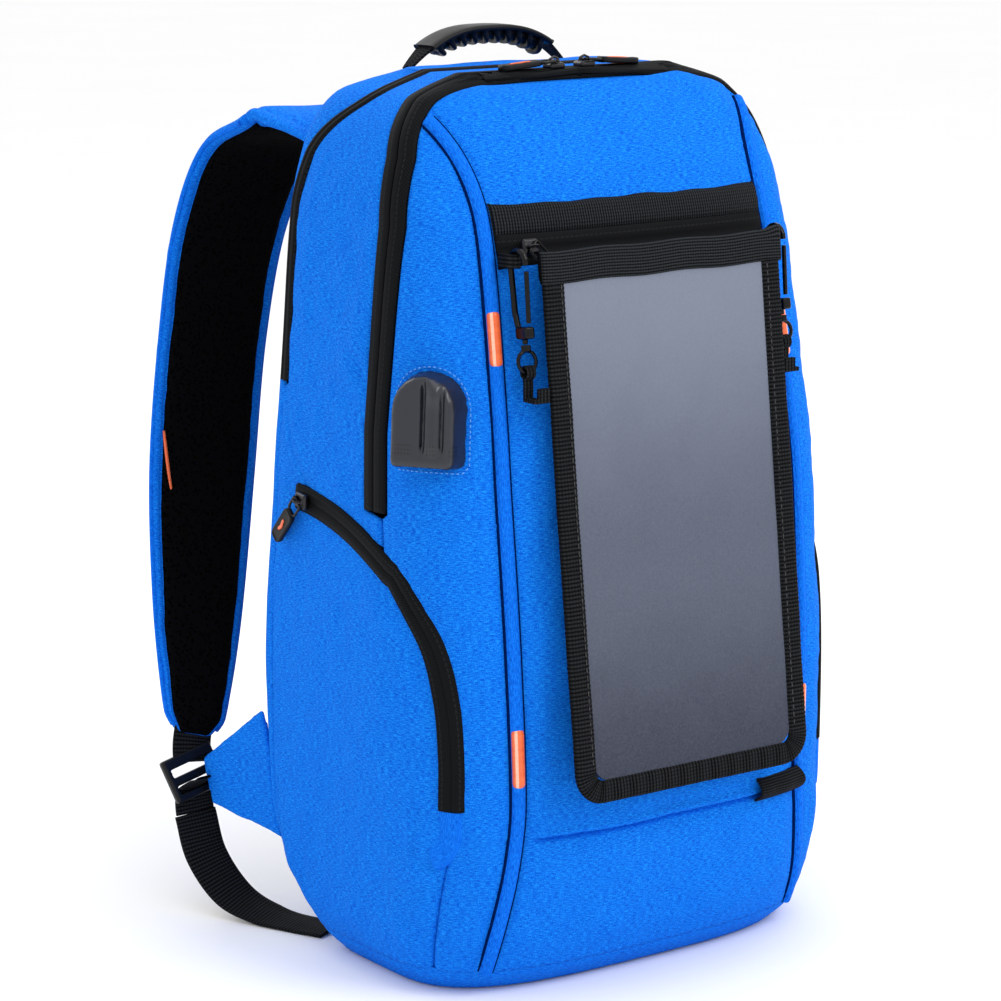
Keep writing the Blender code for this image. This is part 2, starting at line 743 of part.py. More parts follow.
def make_pocket_slider():
    height = sum(POCKET_ZIP_HEIGHTS) / 2 + 0.0010
    place = front_point(-POCKET_SLIDER_ACROSS, height, POCKET_SLIDER_LIFT)
    outward = bag_normal(front_point(0, height))
    matrix = slider_frame(place, (1, 0, 0), outward)
    make_slider("pocket_slider", matrix)
    make_pull("pocket_pull", matrix @ Matrix.Rotation(math.radians(-50), 4, "Z"))


def make_side_slider(side):
    angle = SIDE_ZIP_START + math.radians(3.0)
    y, z = arc(SIDE_ZIP_CENTRE, SIDE_ZIP_RADIUS, angle, angle, 1)[0]
    place = side_point(side, y, z, SIDE_SLIDER_LIFT)
    along = (0, math.sin(angle), -math.cos(angle))
    matrix = slider_frame(place, along, (side, 0, 0))
    make_slider(f"side_slider_{side_name(side)}", matrix)
    hang_down = Matrix.Rotation(-side * math.radians(50.0), 4, "Z")
    make_pull(f"side_pull_{side_name(side)}", matrix @ hang_down, math.radians(-2))


# ---------------------------------------------------------------------------------------- solar panel


def panel_matrix():
    """The panel's own frame: X across, Z up along the panel, -Y out of its face, origin at its top edge."""
    return Matrix.Translation(PANEL_TOP) @ Matrix.Rotation(-PANEL_LEAN, 4, "X")


def panel_outline(margin_side, margin_top, corner):
    """The panel's outline drawn in from its edge: square top corners, round bottom corners."""
    half = PANEL_WIDTH / 2 - margin_side
    top, bottom = -margin_top, margin_side - PANEL_LENGTH
    outline = [(-half, top), (half, top)][::-1]
    outline += arc((-half + corner, bottom + corner), corner, math.pi, 1.5 * math.pi, 6)
    outline += arc((half - corner, bottom + corner), corner, 1.5 * math.pi, 2 * math.pi, 6)
    return [outline[0], outline[1], *outline[2:]]


def panel_plate(name, outline, near, far, finish):
    """A plate in the panel's frame between two depths."""
    count = len(outline)
    points = [(x, near, z) for x, z in outline] + [(x, far, z) for x, z in outline]
    faces = [tuple(range(count)), tuple(range(count, 2 * count))]
    faces += [(k, (k + 1) % count, (k + 1) % count + count, k + count) for k in range(count)]
    return add_object(name, points, faces, finish)


def make_panel():
    place = panel_matrix()
    half = BINDING_THICKNESS / 2
    inner_corner = PANEL_CORNER - PANEL_SIDE_BINDING * 0.6
    binding = panel_plate("panel_binding", panel_outline(0, 0, PANEL_CORNER), -half, half, "black_webbing")
    soften(binding, 0.0012, 2)
    window = panel_outline(PANEL_SIDE_BINDING, PANEL_TOP_BINDING, inner_corner)
    combine(binding, guide(panel_plate("window", window, -0.02, 0.02, None)), "DIFFERENCE")
    settle(binding, place)
    glazing = panel_outline(PANEL_SIDE_BINDING + GAP, PANEL_TOP_BINDING + GAP, inner_corner)
    film = panel_plate("solar_laminate", glazing, -LAMINATE_THICKNESS + 0.0004, 0.0004, "panel_film")
    settle(film, place)
    back = panel_plate("panel_backing", glazing, 0.0004 + GAP, 0.0004 + GAP + BACKING_THICKNESS, "black_fabric")
    settle(back, place)
    regulator = block("charge_regulator", (-0.031, 0.0026, -0.062), (0.031, 0.0090, -0.035), "black_plastic", 0.0015)
    port = block("port", (-0.0070, 0.0036, -0.070), (0.0070, 0.0080, -0.0500), "black_plastic")
    combine(regulator, guide(port), "DIFFERENCE")
    settle(regulator, place)


# ------------------------------------------------------------------------------------------ snap hooks


def hook_place(side):
    return Vector((side * HOOK_ACROSS, HOOK_DEPTH, HOOK_PIVOT_HEIGHT))


def hook_lean(side):
    """Leans a hook drawn upright about the webbing bridge that it hangs from."""
    pivot = Matrix.Translation(hook_place(side))
    return pivot @ Matrix.Rotation(-HOOK_LEAN, 4, "X") @ pivot.inverted()


def make_hook(side):
    """A swivelling snap hook whose bow stands in the YZ plane, with a sprung gate under its open tip."""
    name = side_name(side)
    x, y, z = hook_place(side)
    base = Vector((x, y, HOOK_BASE_HEIGHT))
    bow_centre = z - 0.0008
    spine = [(x, y + 0.0006, HOOK_BASE_HEIGHT), (x, y + 0.0050, HOOK_BASE_HEIGHT + 0.0050)]
    spine += [(x, y + HOOK_BOW_RADIUS, HOOK_BASE_HEIGHT + 0.0120)]
    spine += [(x, y + a, b) for a, b in arc((0, bow_centre), HOOK_BOW_RADIUS, 0, 1.06 * math.pi, 9)]
    hook = wire(f"snap_hook_{name}", spine, HOOK_WIRE, "black_metal", origin=base)
    low = HOOK_BASE_HEIGHT - 0.0015
    high = low + 0.0062
    foot = block("foot", (x - 0.0028, y - 0.0058, low), (x + 0.0028, y + 0.0046, high), "black_metal", 0.0010)
    neck = wire("neck", [(x, y, HOOK_BASE_HEIGHT - NECK_LENGTH), base], NECK_RADIUS, "black_metal")
    join_solids(hook, foot, neck)
    tip = spine[-1]
    gate_low = Vector((x, y - 0.0046, high + GATE_RADIUS + GAP))
    gate_high = Vector((x, tip[1] - 0.0002, tip[2] - HOOK_WIRE - GATE_RADIUS))
    stem = [gate_low, gate_low.lerp(gate_high, 0.5), gate_high]
    gate = wire(f"hook_gate_{name}", stem, GATE_RADIUS, "black_metal", origin=gate_low)
    for piece in (hook, gate, make_eye(side)):
        piece.matrix_world = hook_lean(side) @ piece.matrix_basis


def make_eye(side):
    """The wire eye that the hook swivels on."""
    x, y, _ = hook_place(side)
    circle = arc((0, EYE_CENTRE_HEIGHT), EYE_RADIUS, 0, 2 * math.pi, 17)[:-1]
    eye = wire(f"hook_eye_{side_name(side)}", [(x + a, y, b) for a, b in circle], EYE_WIRE, "black_metal", cyclic=True)
    top = EYE_CENTRE_HEIGHT + EYE_RADIUS - 0.0004
    seat = HOOK_BASE_HEIGHT - NECK_LENGTH - GAP
    return join_solids(eye, wire("collar", [(x, y, top), (x, y, seat)], 0.0028, "black_metal"))


def make_panel_tab(side):
    """The webbing tab on the panel's edge, folded round the eye's lower bar."""
    x, y, _ = hook_place(side)
    bar = hook_lean(side) @ Vector((x, y, EYE_CENTRE_HEIGHT - EYE_RADIUS))
    low = bar.z - 0.0150
    panel_edge = side * (PANEL_WIDTH / 2 + GAP)
    panel_depth = PANEL_TOP[1] - (PANEL_TOP[2] - bar.z + 0.011) * math.tan(PANEL_LEAN)
    outer = arc((bar.y, bar.z), TAB_LOOP_RADIUS, 0, 2 * math.pi, 13)[:-1]
    inner = arc((bar.y, bar.z), TAB_LOOP_RADIUS - 0.0013, 0, 2 * math.pi, 13)[:-1]
    half = 0.0026
    loop = sweep(f"panel_tab_{side_name(side)}", [[(x + dx, a, b) for a, b in outer] for dx in (-half, half)], "black_webbing")
    back = bar.y + 0.0010
    leg = block("leg", (x - half, bar.y - 0.0010, low), (x + half, back, bar.z - 0.0027), "black_webbing")
    across = sorted((x, panel_edge))
    reach = block("reach", (across[0], panel_depth - 0.0012, low), (across[1], panel_depth + 0.0012, low + 0.0075), "black_webbing")
    riser = block("riser", (x - half, panel_depth - 0.0012, low), (x + half, back, low + 0.0022), "black_webbing")
    join_solids(loop, leg, riser, reach)
    hole = sweep("hole", [[(x + dx, a, b) for a, b in inner] for dx in (-0.02, 0.02)], None)
    combine(loop, guide(hole), "DIFFERENCE")


def make_hook_tab(side):
    """The webbing bridge on the bag that a hook clips over: sewn at both ends, standing off between them."""
    name = side_name(side)
    pivot = hook_place(side)
    sides, centres = [], []
    for share in np.linspace(-1, 1, 9):
        across = pivot.x + share * TAB_HALF_LENGTH
        on_bag = front_point(across, pivot.z, 0.0018 + 2 * GAP + TAB_THICKNESS / 2)
        stand = math.cos(share * math.pi / 2) ** 0.4
        centres.append((across, on_bag.y + (pivot.y - on_bag.y) * stand, pivot.z))
        sides.append((0, 0, 1))
    return band(f"hook_tab_{name}", centres, sides, [TAB_HEIGHT] * 9, TAB_THICKNESS, "black_webbing", origin=pivot)


# -------------------------------------------------------------------------------------------- top handle


def make_handle():
    """A moulded grip on a bowed strap: a flat top rail with ribs under it, and a round foot at each end."""
    origin = (0, HANDLE_DEPTH, HANDLE_PIVOT_HEIGHT)

    def rise(x):
        share = min(abs(x) / HANDLE_HALF_SPAN, 1.0)
        return HANDLE_PIVOT_HEIGHT + HANDLE_RISE * (1 - share**2.6)

    strip = [(x, HANDLE_DEPTH, rise(x)) for x in HANDLE_HALF_SPAN * np.sin(np.linspace(-math.pi / 2, math.pi / 2, 15))]
    widths = []
    for x, _, _ in strip:
        leg = max(0.0, (abs(x) - HANDLE_GRIP_SPAN) / (HANDLE_HALF_SPAN - HANDLE_GRIP_SPAN))
        widths.append(HANDLE_WIDTH + (HANDLE_FOOT_WIDTH - HANDLE_WIDTH) * min(leg, 1.0) ** 0.5)
    handle = band("top_handle", strip, [(0, 1, 0)] * 15, widths, 0.0026, "black_rubber", origin)
    ribs = 11
    for k in range(ribs):
        x = HANDLE_GRIP_SPAN * (2 * k / (ribs - 1) - 1)
        slope = (rise(x + 0.001) - rise(x - 0.001)) / 0.002
        rib = block("rib", (-0.0028, -0.0075, -0.0070), (0.0028, 0.0075, 0.0004), "black_rubber")
        rib.data.transform(Matrix.Translation((x, HANDLE_DEPTH, rise(x))) @ Matrix.Rotation(-math.atan(slope), 4, "Y"))
        join_solids(handle, rib)
    return handle


# -------------------------------------------------------------------------------- shoulder straps


def make_strap(side):
    name = side_name(side)
    widths = [w for _, w in STRAP]
    rows = [(*mirrored(p, side), w) for p, w in STRAP]
    path = smooth_path(rows, 16)
    centres = [p[:3] for p in path]
    sides = [(1, 0, 0)] * len(path)
    origin = Vector(centres[0])
    band(f"strap_{name}", centres, sides, [p[3] for p in path], STRAP_THICKNESS, "black_mesh", origin)
    start, first = Vector(mirrored(YOKE_START, side)), Vector(centres[0])
    onward = (Vector(centres[1]) - first).normalized()
    near, joint = first - onward * 0.013, first - onward * 0.0012
    rows = [(*start, YOKE_START_WIDTH), (*start.lerp(near, 0.5), 0.093), (*near, 0.089), (*joint, widths[0])]
    path = smooth_path(rows, 8)
    path[-2:] = [rows[-2], rows[-1]]
    yoke = band(f"yoke_{name}", [p[:3] for p in path], [(1, 0, 0)] * 8, [p[3] for p in path], STRAP_THICKNESS, "blue_fabric")
    combine(yoke, bag_solid(-GAP), "DIFFERENCE")


def make_ladder_lock(side):
    """A four-bar buckle: a frame with two slots, tilted with the strap's lower end."""
    name = side_name(side)
    centre = Vector(mirrored(LOCK_CENTRE, side))
    lock = block(f"ladder_lock_{name}", (-0.0165, -0.0026, -0.0130), (0.0165, 0.0026, 0.0130), "black_plastic", 0.0014)
    for low, high in ((-0.0085, -0.0035), (0.0015, 0.0065)):
        slot = block("slot", (-0.0128, -0.01, low), (0.0128, 0.01, high), "black_plastic")
        combine(lock, guide(slot), "DIFFERENCE")
    matrix = Matrix.Translation(centre) @ Matrix.Rotation(side * math.radians(14), 4, "Y") @ Matrix.Rotation(math.radians(-22), 4, "X")
    return settle(lock, matrix)


def make_wing(side):
    """The triangular fabric wing at the bag's lower rear corner that the strap's webbing is sewn to."""
    name = side_name(side)
    tip = Vector(mirrored((-0.1440, 0.1500, 0.0760), side))
    rows = []
    for share in np.linspace(0, 1, 6):
        centre = Vector(mirrored((-0.1330, 0.0960, 0.0900), side)).lerp(tip, share)
        rows.append((centre, 0.074 * (1 - share) + 0.026 * share))
    sides = [(0, 0, 1)] * 6
    piece = band(f"wing_{name}", [r[0] for r in rows], sides, [r[1] for r in rows], 0.0030, "blue_fabric")
    combine(piece, bag_solid(-GAP), "DIFFERENCE")
    return piece


def make_webbing(side):
    """The strap webbing's loose end, from under the buckle down to the ground beneath the bag."""
    name = side_name(side)
    run = ((-0.1490, 0.1585, 0.0560), (-0.1470, 0.1500, 0.0320), (-0.1400, 0.1330, 0.0120), (-0.1300, 0.1120, 0.0034), (-0.1200, 0.0900, 0.0013), (-0.1120, 0.0720, 0.0013))
    path = smooth_path([mirrored(p, side) for p in run], 14)
    level = [(p[0], p[1], max(p[2], WEBBING_THICKNESS / 2 + 0.0002)) for p in path]
    band(f"webbing_tail_{name}", level, [(1, 0.12 * side, 0)] * 14, [WEBBING_WIDTH] * 14, WEBBING_THICKNESS, "black_webbing")


# -------------------------------------------------------------------------------------- USB port


def hood_frame():
    """X runs round the bag, Y out of it and Z up, at the middle of the hood's foot."""
    place = front_point(-HOOD_CENTRE_ACROSS, HOOD_CENTRE_HEIGHT)
    outward = bag_normal(place)
    up = Vector((0, 0, 1))
    up = (up - outward * up.dot(outward)).normalized()
    across = outward.cross(up)
    matrix = Matrix((across, outward, up)).transposed().to_4x4()
    matrix.translation = place
    return matrix


def make_usb_port():
    """A rubber hood over a socket that faces down, with a plate inside the wall."""
    place = hood_frame()
    half, low, high = HOOD_WIDTH / 2, -HOOD_HEIGHT / 2, HOOD_HEIGHT / 2
    outline = [(-half, low), (half, low)] + arc((0, high - half), half, 0, math.pi, 11)
    points = [(x, -0.008, z) for x, z in outline] + [(x * 0.84, HOOD_RISE, low + (z - low) * 0.90) for x, z in outline]
    count = len(outline)
    faces = [tuple(range(count)), tuple(range(count, 2 * count))]
    faces += [(k, (k + 1) % count, (k + 1) % count + count, k + count) for k in range(count)]
    hood = add_object("usb_hood", points, faces, "black_rubber")
    soften(hood, 0.0030, 2)
    mouth = block("mouth", (-0.0110, 0.0010, low - 0.01), (0.0110, HOOD_RISE - 0.0030, low + 0.0240), "black_rubber")
    combine(hood, guide(mouth), "DIFFERENCE")
    settle(hood, place)
    combine(hood, bag_solid(-GAP), "DIFFERENCE")
    top = low + 0.0240 - GAP
    socket = block("usb_socket", (-0.0075, 0.0022, top - 0.0140), (0.0075, 0.0085, top), "socket_steel", 0.0006)
    slot = block("slot", (-0.0062, 0.0034, top - 0.02), (0.0062, 0.0074, top - 0.0030), "socket_steel")
    combine(socket, guide(slot), "DIFFERENCE")
    settle(socket, place)
    plate = block("usb_backing_plate", (-0.018, -0.0100, -0.020), (0.018, -0.0085, 0.020), "black_plastic", 0.0004)
    settle(plate, place)


# ------------------------------------------------------------------------------------------- joints


def hang(name, place, *pieces):
    """Parents pieces to an empty on their joint's axis, leaving them where they are."""
    pivot = bpy.data.objects.new(name, None)
    pivot.location = place
    bpy.context.scene.collection.objects.link(pivot)
    bpy.context.view_layer.update()
    for piece in pieces:
        obj = bpy.data.objects[piece]
        world = obj.matrix_world.copy()
        obj.parent = pivot
        obj.matrix_parent_inverse = pivot.matrix_world.inverted()
        obj.matrix_world = world
    return name


def make_pivots():
    pivot_line = (0, HOOK_DEPTH, HOOK_PIVOT_HEIGHT)
    panel = ["solar_laminate", "panel_binding", "panel_backing", "charge_regulator"]
    panel += [f"{part}_{side}" for part in ("panel_tab", "hook_eye") for side in ("left", "right")]
    hooks = [f"{part}_{side}" for part in ("snap_hook", "hook_gate") for side in ("left", "right")]
    lift = hang("panel_pivot", pivot_line, *panel, *hooks)
    tabs = hang("tab_pivot", (0, *TAB_SEAM), "hook_tab_left", "hook_tab_right", lift)
    trim = ["front_cover", "cover_zip_tape", "pocket_band", "pocket_zip_tape", "pocket_slider", "pocket_pull"]
    trim += ["piping_left_upper", "piping_right_upper"]
    hang("cover_pivot", (0, follow_line(MAIN_ZIP, FOLD_MIDDLE) - MAIN_ZIP_HALF, FOLD_MIDDLE), *trim, tabs)
    for side in (-1, 1):
        name = side_name(side)
        slider, pull = f"side_slider_{name}", f"side_pull_{name}"
        hang(f"side_zip_pivot_{name}", (0, *SIDE_ZIP_CENTRE), slider, pull)


# ------------------------------------------------------------------------------------- inside the bag


def make_inside():
    block("base_board", (-0.090, -0.046, 0.0036), (0.090, 0.034, 0.0060), "white_board", 0.0006)
    block("laptop_divider", (-0.112, 0.0600, 0.0300), (0.112, 0.0650, 0.4150), "black_fabric", 0.0015)
    block("frame_sheet", (-0.100, 0.0800, 0.0600), (0.100, 0.0815, 0.4200), "white_board", 0.0004)
    pocket = block("power_bank_pocket", (-0.0450, 0.0330, 0.1900), (0.0450, 0.0594, 0.3200), "black_mesh", 0.0020)
    space = block("space", (-0.0432, 0.0348, 0.1918), (0.0432, 0.0576, 0.3300), "black_mesh")
    combine(pocket, guide(space), "DIFFERENCE")


clear_scene()
make_lower_front()
make_cover_fold()
make_front_cover()
make_cover_zip_tape()
make_main_zip_tape()
make_rear_shell()
make_laptop_zip_tape()
make_back_panel()
make_bottom_panel()
make_front_band()
make_light_loop()
make_main_sliders()
make_pocket_slider()
make_panel()
make_handle()
make_usb_port()
make_inside()
for bag_side in (-1, 1):
    make_piping(bag_side)
    make_side_zip(bag_side)
    make_side_slider(bag_side)
    make_hook(bag_side)
    make_hook_tab(bag_side)
    make_panel_tab(bag_side)
    make_strap(bag_side)
    make_ladder_lock(bag_side)
    make_wing(bag_side)
    make_webbing(bag_side)
make_pivots()
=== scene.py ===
"""The backpack's looks: woven fabric, zips, webbing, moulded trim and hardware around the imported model."""
import math

import bmesh
import bpy
import numpy as np
from mathutils import Matrix, Vector

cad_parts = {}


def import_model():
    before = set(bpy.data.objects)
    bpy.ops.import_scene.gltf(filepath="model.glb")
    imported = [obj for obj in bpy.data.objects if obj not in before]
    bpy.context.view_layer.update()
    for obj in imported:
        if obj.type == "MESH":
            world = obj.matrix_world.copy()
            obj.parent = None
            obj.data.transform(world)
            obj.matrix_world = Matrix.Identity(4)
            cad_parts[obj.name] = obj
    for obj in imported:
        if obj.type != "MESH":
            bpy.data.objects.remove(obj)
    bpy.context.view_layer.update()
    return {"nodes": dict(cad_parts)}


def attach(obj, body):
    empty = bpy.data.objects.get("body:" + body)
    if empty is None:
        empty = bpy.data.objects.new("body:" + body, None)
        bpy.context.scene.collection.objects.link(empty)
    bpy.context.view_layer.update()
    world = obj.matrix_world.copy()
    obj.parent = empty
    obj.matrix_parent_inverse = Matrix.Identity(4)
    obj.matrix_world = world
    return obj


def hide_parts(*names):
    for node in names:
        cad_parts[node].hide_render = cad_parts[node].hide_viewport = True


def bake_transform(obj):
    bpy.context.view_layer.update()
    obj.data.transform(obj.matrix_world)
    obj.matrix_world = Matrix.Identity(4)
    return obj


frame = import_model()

# ------------------------------------------------------------------ the bag's form, as the CAD model has it

HEIGHT = 0.480
FRONT_POWER = 3.2
REAR_POWER = 9.0
STATIONS = (
    (0.000, 0.122, 0.066, 0.056),
    (0.012, 0.131, 0.078, 0.068),
    (0.045, 0.137, 0.089, 0.100),
    (0.080, 0.139, 0.093, 0.112),
    (0.150, 0.139, 0.095, 0.115),
    (0.250, 0.136, 0.090, 0.107),
    (0.340, 0.131, 0.077, 0.100),
    (0.410, 0.126, 0.060, 0.096),
    (0.445, 0.117, 0.044, 0.092),
    (0.468, 0.101, 0.026, 0.083),
    (0.480, 0.068, 0.006, 0.062),
)
MAIN_ZIP = (
    (0.257, -0.015), (0.300, -0.013), (0.355, -0.016),
    (0.407, -0.019), (0.441, -0.015), (0.476, -0.003),
)
LAPTOP_ZIP = (
    (0.030, 0.088), (0.100, 0.092), (0.250, 0.086), (0.314, 0.080),
    (0.413, 0.075), (0.442, 0.068), (0.460, 0.048), (0.470, 0.030),
)
FRONT_SEAM = (
    (0.000, -0.042), (0.039, -0.054), (0.090, -0.066),
    (0.135, -0.066), (0.166, -0.064), (0.196, -0.056),
    (0.223, -0.037), (0.236, -0.022), (0.257, -0.020),
)
PIPING = (
    (0.013, 0.1030), (0.031, 0.1030), (0.066, 0.0980), (0.100, 0.0940), (0.171, 0.0960),
    (0.270, 0.0970), (0.350, 0.0940), (0.413, 0.0910), (0.440, 0.0940), (0.460, 0.1022),
)
ZIP_HALF = 0.009
SEAM_HEIGHT = 0.089
# The lowest row of the sewn panels, and the heights where the two zips over the top start.
FOOT = 0.0135
MAIN_ZIP_FOOT = 0.257
LAPTOP_ZIP_FOOT = 0.314
OUTLET_HEIGHT = 0.312

TAB_HALF_LENGTH = 0.0046
TAB_HEIGHT = 0.0070
TAB_THICKNESS = 0.0018
PANEL_HALF = 0.077
PANEL_LENGTH = 0.286
PANEL_LEAN = math.radians(6.0)
PANEL_PLACE = Matrix.Translation((0, -0.083, 0.395)) @ Matrix.Rotation(-PANEL_LEAN, 4, "X")
HOOD_PLACE = Matrix((
    (-0.5399, -0.8372, 0.0870, -0.1235),
    (0.8417, -0.5370, 0.0558, -0.05004),
    (0.0, 0.1034, 0.9946, 0.3120),
    (0, 0, 0, 1),
))
SIDES = ((-1, "left"), (1, "right"))


def monotone_table():
    """Half width, front depth and rear depth at closely spaced heights, smoothly through the stations."""
    heights, *sizes = np.array(STATIONS).T
    z = np.linspace(0, HEIGHT, 1921)
    found = [z]
    for values in sizes:
        steps = np.diff(values) / np.diff(heights)
        slopes = np.zeros(len(values))
        slopes[0], slopes[-1] = steps[0], steps[-1]
        for i in range(1, len(values) - 1):
            product = steps[i - 1] * steps[i]
            slopes[i] = 2 * product / (steps[i - 1] + steps[i]) if product > 0 else 0.0
        i = np.clip(np.searchsorted(heights, z, side="right") - 1, 0, len(heights) - 2)
        span = heights[i + 1] - heights[i]
        t = (z - heights[i]) / span
        value = (1 + 2 * t) * (1 - t) ** 2 * values[i] + t * (1 - t) ** 2 * span * slopes[i]
        value += t**2 * (3 - 2 * t) * values[i + 1] + t**2 * (t - 1) * span * slopes[i + 1]
        found.append(value)
    return found


TABLE_Z, TABLE_HALF, TABLE_FRONT, TABLE_REAR = monotone_table()


def sizes_at(z):
    return [np.interp(z, TABLE_Z, column) for column in (TABLE_HALF, TABLE_FRONT, TABLE_REAR)]


def line_at(line, z):
    heights, values = zip(*line)
    return np.interp(z, heights, values)


def softened(line, reach):
    """The same line with its corners rounded over reach on each side."""
    heights = np.linspace(line[0][0], line[-1][0], 240)
    shares = np.linspace(-1, 1, 21)
    weights = 1 - np.abs(shares)
    values = sum(w * line_at(line, heights + s * reach) for s, w in zip(shares, weights)) / weights.sum()
    return tuple(zip(heights, values))


LAPTOP_ZIP = softened(LAPTOP_ZIP, 0.012)


def size_of(vectors):
    return np.linalg.norm(vectors, axis=-1, keepdims=True)


def unit(vectors):
    return vectors / np.maximum(size_of(vectors), 1e-9)


def frames_along(path):
    """Unit tangents of a path of points."""
    return unit(np.gradient(np.asarray(path, float), axis=0))


def square_to(tangent, guide):
    """The part of guide that stands square to each tangent, at unit length."""
    guide = np.tile(np.asarray(guide, float), (len(tangent), 1))
    return unit(guide - tangent * (guide * tangent).sum(1, keepdims=True))


def travelled(path):
    """The length of a path up to each of its points."""
    return np.concatenate([[0], np.cumsum(np.linalg.norm(np.diff(path, axis=0), axis=1))])


def xyz(x, y, z):
    """Points from their three coordinates, each an array or one number for all."""
    return np.stack(np.broadcast_arrays(x, y, z), axis=-1)


def tape_uv(along, across):
    return np.stack(np.broadcast_arrays(along[:, None], across[None, :]), axis=-1)


def curved(value, power):
    """value to a power, keeping its sign: the profile of a superellipse from a sine or cosine."""
    return np.sign(value) * np.abs(value) ** power


def bell(value, centre, width):
    return np.exp(-(((value - centre) / width) ** 2))


def edge_count(rows, cols):
    """How many columns each point of a grid is from the nearer side."""
    count = np.arange(cols)
    return np.minimum(count, count[::-1])[None, :] * np.ones((rows, 1))


def to_foot(lift, z):
    """Takes a lift off the bag's form down to nothing at the sewn base."""
    return np.where(z < 0.030, lift * np.clip((z - 0.0125) / 0.0175, 0, 1), lift)


def form_value(points):
    """Below 1 inside the bag's form, above 1 outside."""
    half, front, rear = sizes_at(points[..., 2])
    y = points[..., 1]
    power = np.where(y < 0, FRONT_POWER, REAR_POWER)
    depth = np.where(y < 0, front, rear)
    return (np.abs(points[..., 0]) / half) ** power + (np.abs(y) / depth) ** power


def gradient(points):
    """The slope of form_value, which points away from the bag."""
    step = 2e-4
    found = np.zeros_like(points)
    for k in range(3):
        shift = np.zeros(3)
        shift[k] = step
        found[..., k] = (form_value(points + shift) - form_value(points - shift)) / (2 * step)
    return found


def normals(points):
    found = gradient(points)
    flat = points[..., 2] > HEIGHT - 0.0015
    found[flat] = (0, 0, 1)
    return unit(found)


def project(points):
    """Moves points onto the bag's form."""
    points = points.copy()
    for _ in range(14):
        points[..., 2] = np.clip(points[..., 2], 0.0, HEIGHT - 1e-4)
        slope = gradient(points)
        size = np.maximum((slope**2).sum(-1, keepdims=True), 1e-9)
        move = (form_value(points) - 1)[..., None] * slope / size
        points -= move * np.minimum(1.0, 0.004 / np.maximum(size_of(move), 1e-9))
    return points


def side_x(y, z):
    """How far the bag's side stands out at a depth and height."""
    half, front, rear = sizes_at(z)
    power = np.where(y < 0, FRONT_POWER, REAR_POWER)
    depth = np.where(y < 0, front, rear)
    return half * np.clip(1 - (np.abs(y) / depth) ** power, 0, 1) ** (1 / power)


def front_y(x, z):
    """The depth of the bag's front, across it and up it."""
    half, front, _ = sizes_at(z)
    return -front * np.clip(1 - (np.abs(x) / half) ** FRONT_POWER, 0, 1) ** (1 / FRONT_POWER)


def top_z(x, y):
    """The height of the bag's top over points of its plan."""
    x, y = np.broadcast_arrays(np.asarray(x, float), np.asarray(y, float))
    heights = np.linspace(0.36, HEIGHT, 400)
    points = xyz(x[..., None], y[..., None], heights)
    outside = form_value(points) > 1
    index = np.where(outside.any(-1), outside.argmax(-1), len(heights) - 1)
    return heights[index]


def even(path, count):
    """A path resampled to points of even spacing."""
    path = np.asarray(path, float)
    along = travelled(path)
    places = np.linspace(0, along[-1], count)
    return np.stack([np.interp(places, along, path[:, k]) for k in range(path.shape[1])], axis=1)


def curve_through(points, count):
    """An even Catmull-Rom curve through points."""
    knots = [np.array(p, float) for p in points]
    knots = [2 * knots[0] - knots[1], *knots, 2 * knots[-1] - knots[-2]]
    found = []
    for a, b, c, d in zip(knots, knots[1:], knots[2:], knots[3:]):
        for t in np.linspace(0, 1, 24, endpoint=False):
            bend, twist = 2 * a - 5 * b + 4 * c - d, 3 * b - a - 3 * c + d
            found.append(0.5 * (2 * b + (c - a) * t + bend * t**2 + twist * t**3))
    return even([*found, knots[-2]], count)


def crumple(points, size, depth, seed):
    """A smooth uneven field over points, for sag and creases."""
    draw = np.random.RandomState(seed)
    total = np.zeros(points.shape[:-1])
    for octave in range(3):
        for _ in range(7):
            way = draw.normal(size=3)
            way *= 2 * math.pi * 2**octave / (size * np.linalg.norm(way))
            total += np.sin(points @ way + draw.uniform(0, 6.28)) / 1.9**octave
    return total * depth / 4.0


def near(points, line, width):
    """1 on a line of points, falling off to 0 over width."""
    flat = points.reshape(-1, 3)
    best = np.full(len(flat), 1e9)
    for place in line:
        best = np.minimum(best, ((flat - place) ** 2).sum(1))
    return np.exp(-best / width**2).reshape(points.shape[:-1])


# ---------------------------------------------------------------------------------------- camera and light

VIEW_AZIMUTH, VIEW_ELEVATION = math.radians(-35.0), math.radians(11.5)
VIEW_DISTANCE = 1.82
VIEW_TARGET = Vector((-0.045, 0.0, 0.2505))
VIEW_ROLL = math.radians(-0.5)
VIEW_LENS = 121.2


def make_camera():
    """The photo's view: from the left of the front and a little above."""
    camera = bpy.data.objects.new("camera", bpy.data.cameras.new("camera"))
    bpy.context.scene.collection.objects.link(camera)
    a, e = VIEW_AZIMUTH, VIEW_ELEVATION
    back = Vector((math.sin(a) * math.cos(e), -math.cos(a) * math.cos(e), math.sin(e)))
    camera.location = VIEW_TARGET + back * VIEW_DISTANCE
    turn = (-back).to_track_quat("-Z", "Y")
    camera.rotation_euler = (turn.to_matrix() @ Matrix.Rotation(VIEW_ROLL, 3, "Z")).to_euler()
    camera.data.sensor_width = 36
    camera.data.lens = VIEW_LENS
    camera.data.clip_end = 50
    bpy.context.scene.camera = camera


def area_light(name, place, aim, size, power):
    lamp = bpy.data.lights.new(name, "AREA")
    lamp.shape = "RECTANGLE"
    lamp.size, lamp.size_y = size
    lamp.energy = power
    obj = bpy.data.objects.new(name, lamp)
    obj.location = place
    obj.rotation_euler = (Vector(aim) - Vector(place)).to_track_quat("-Z", "Y").to_euler()
    bpy.context.scene.collection.objects.link(obj)


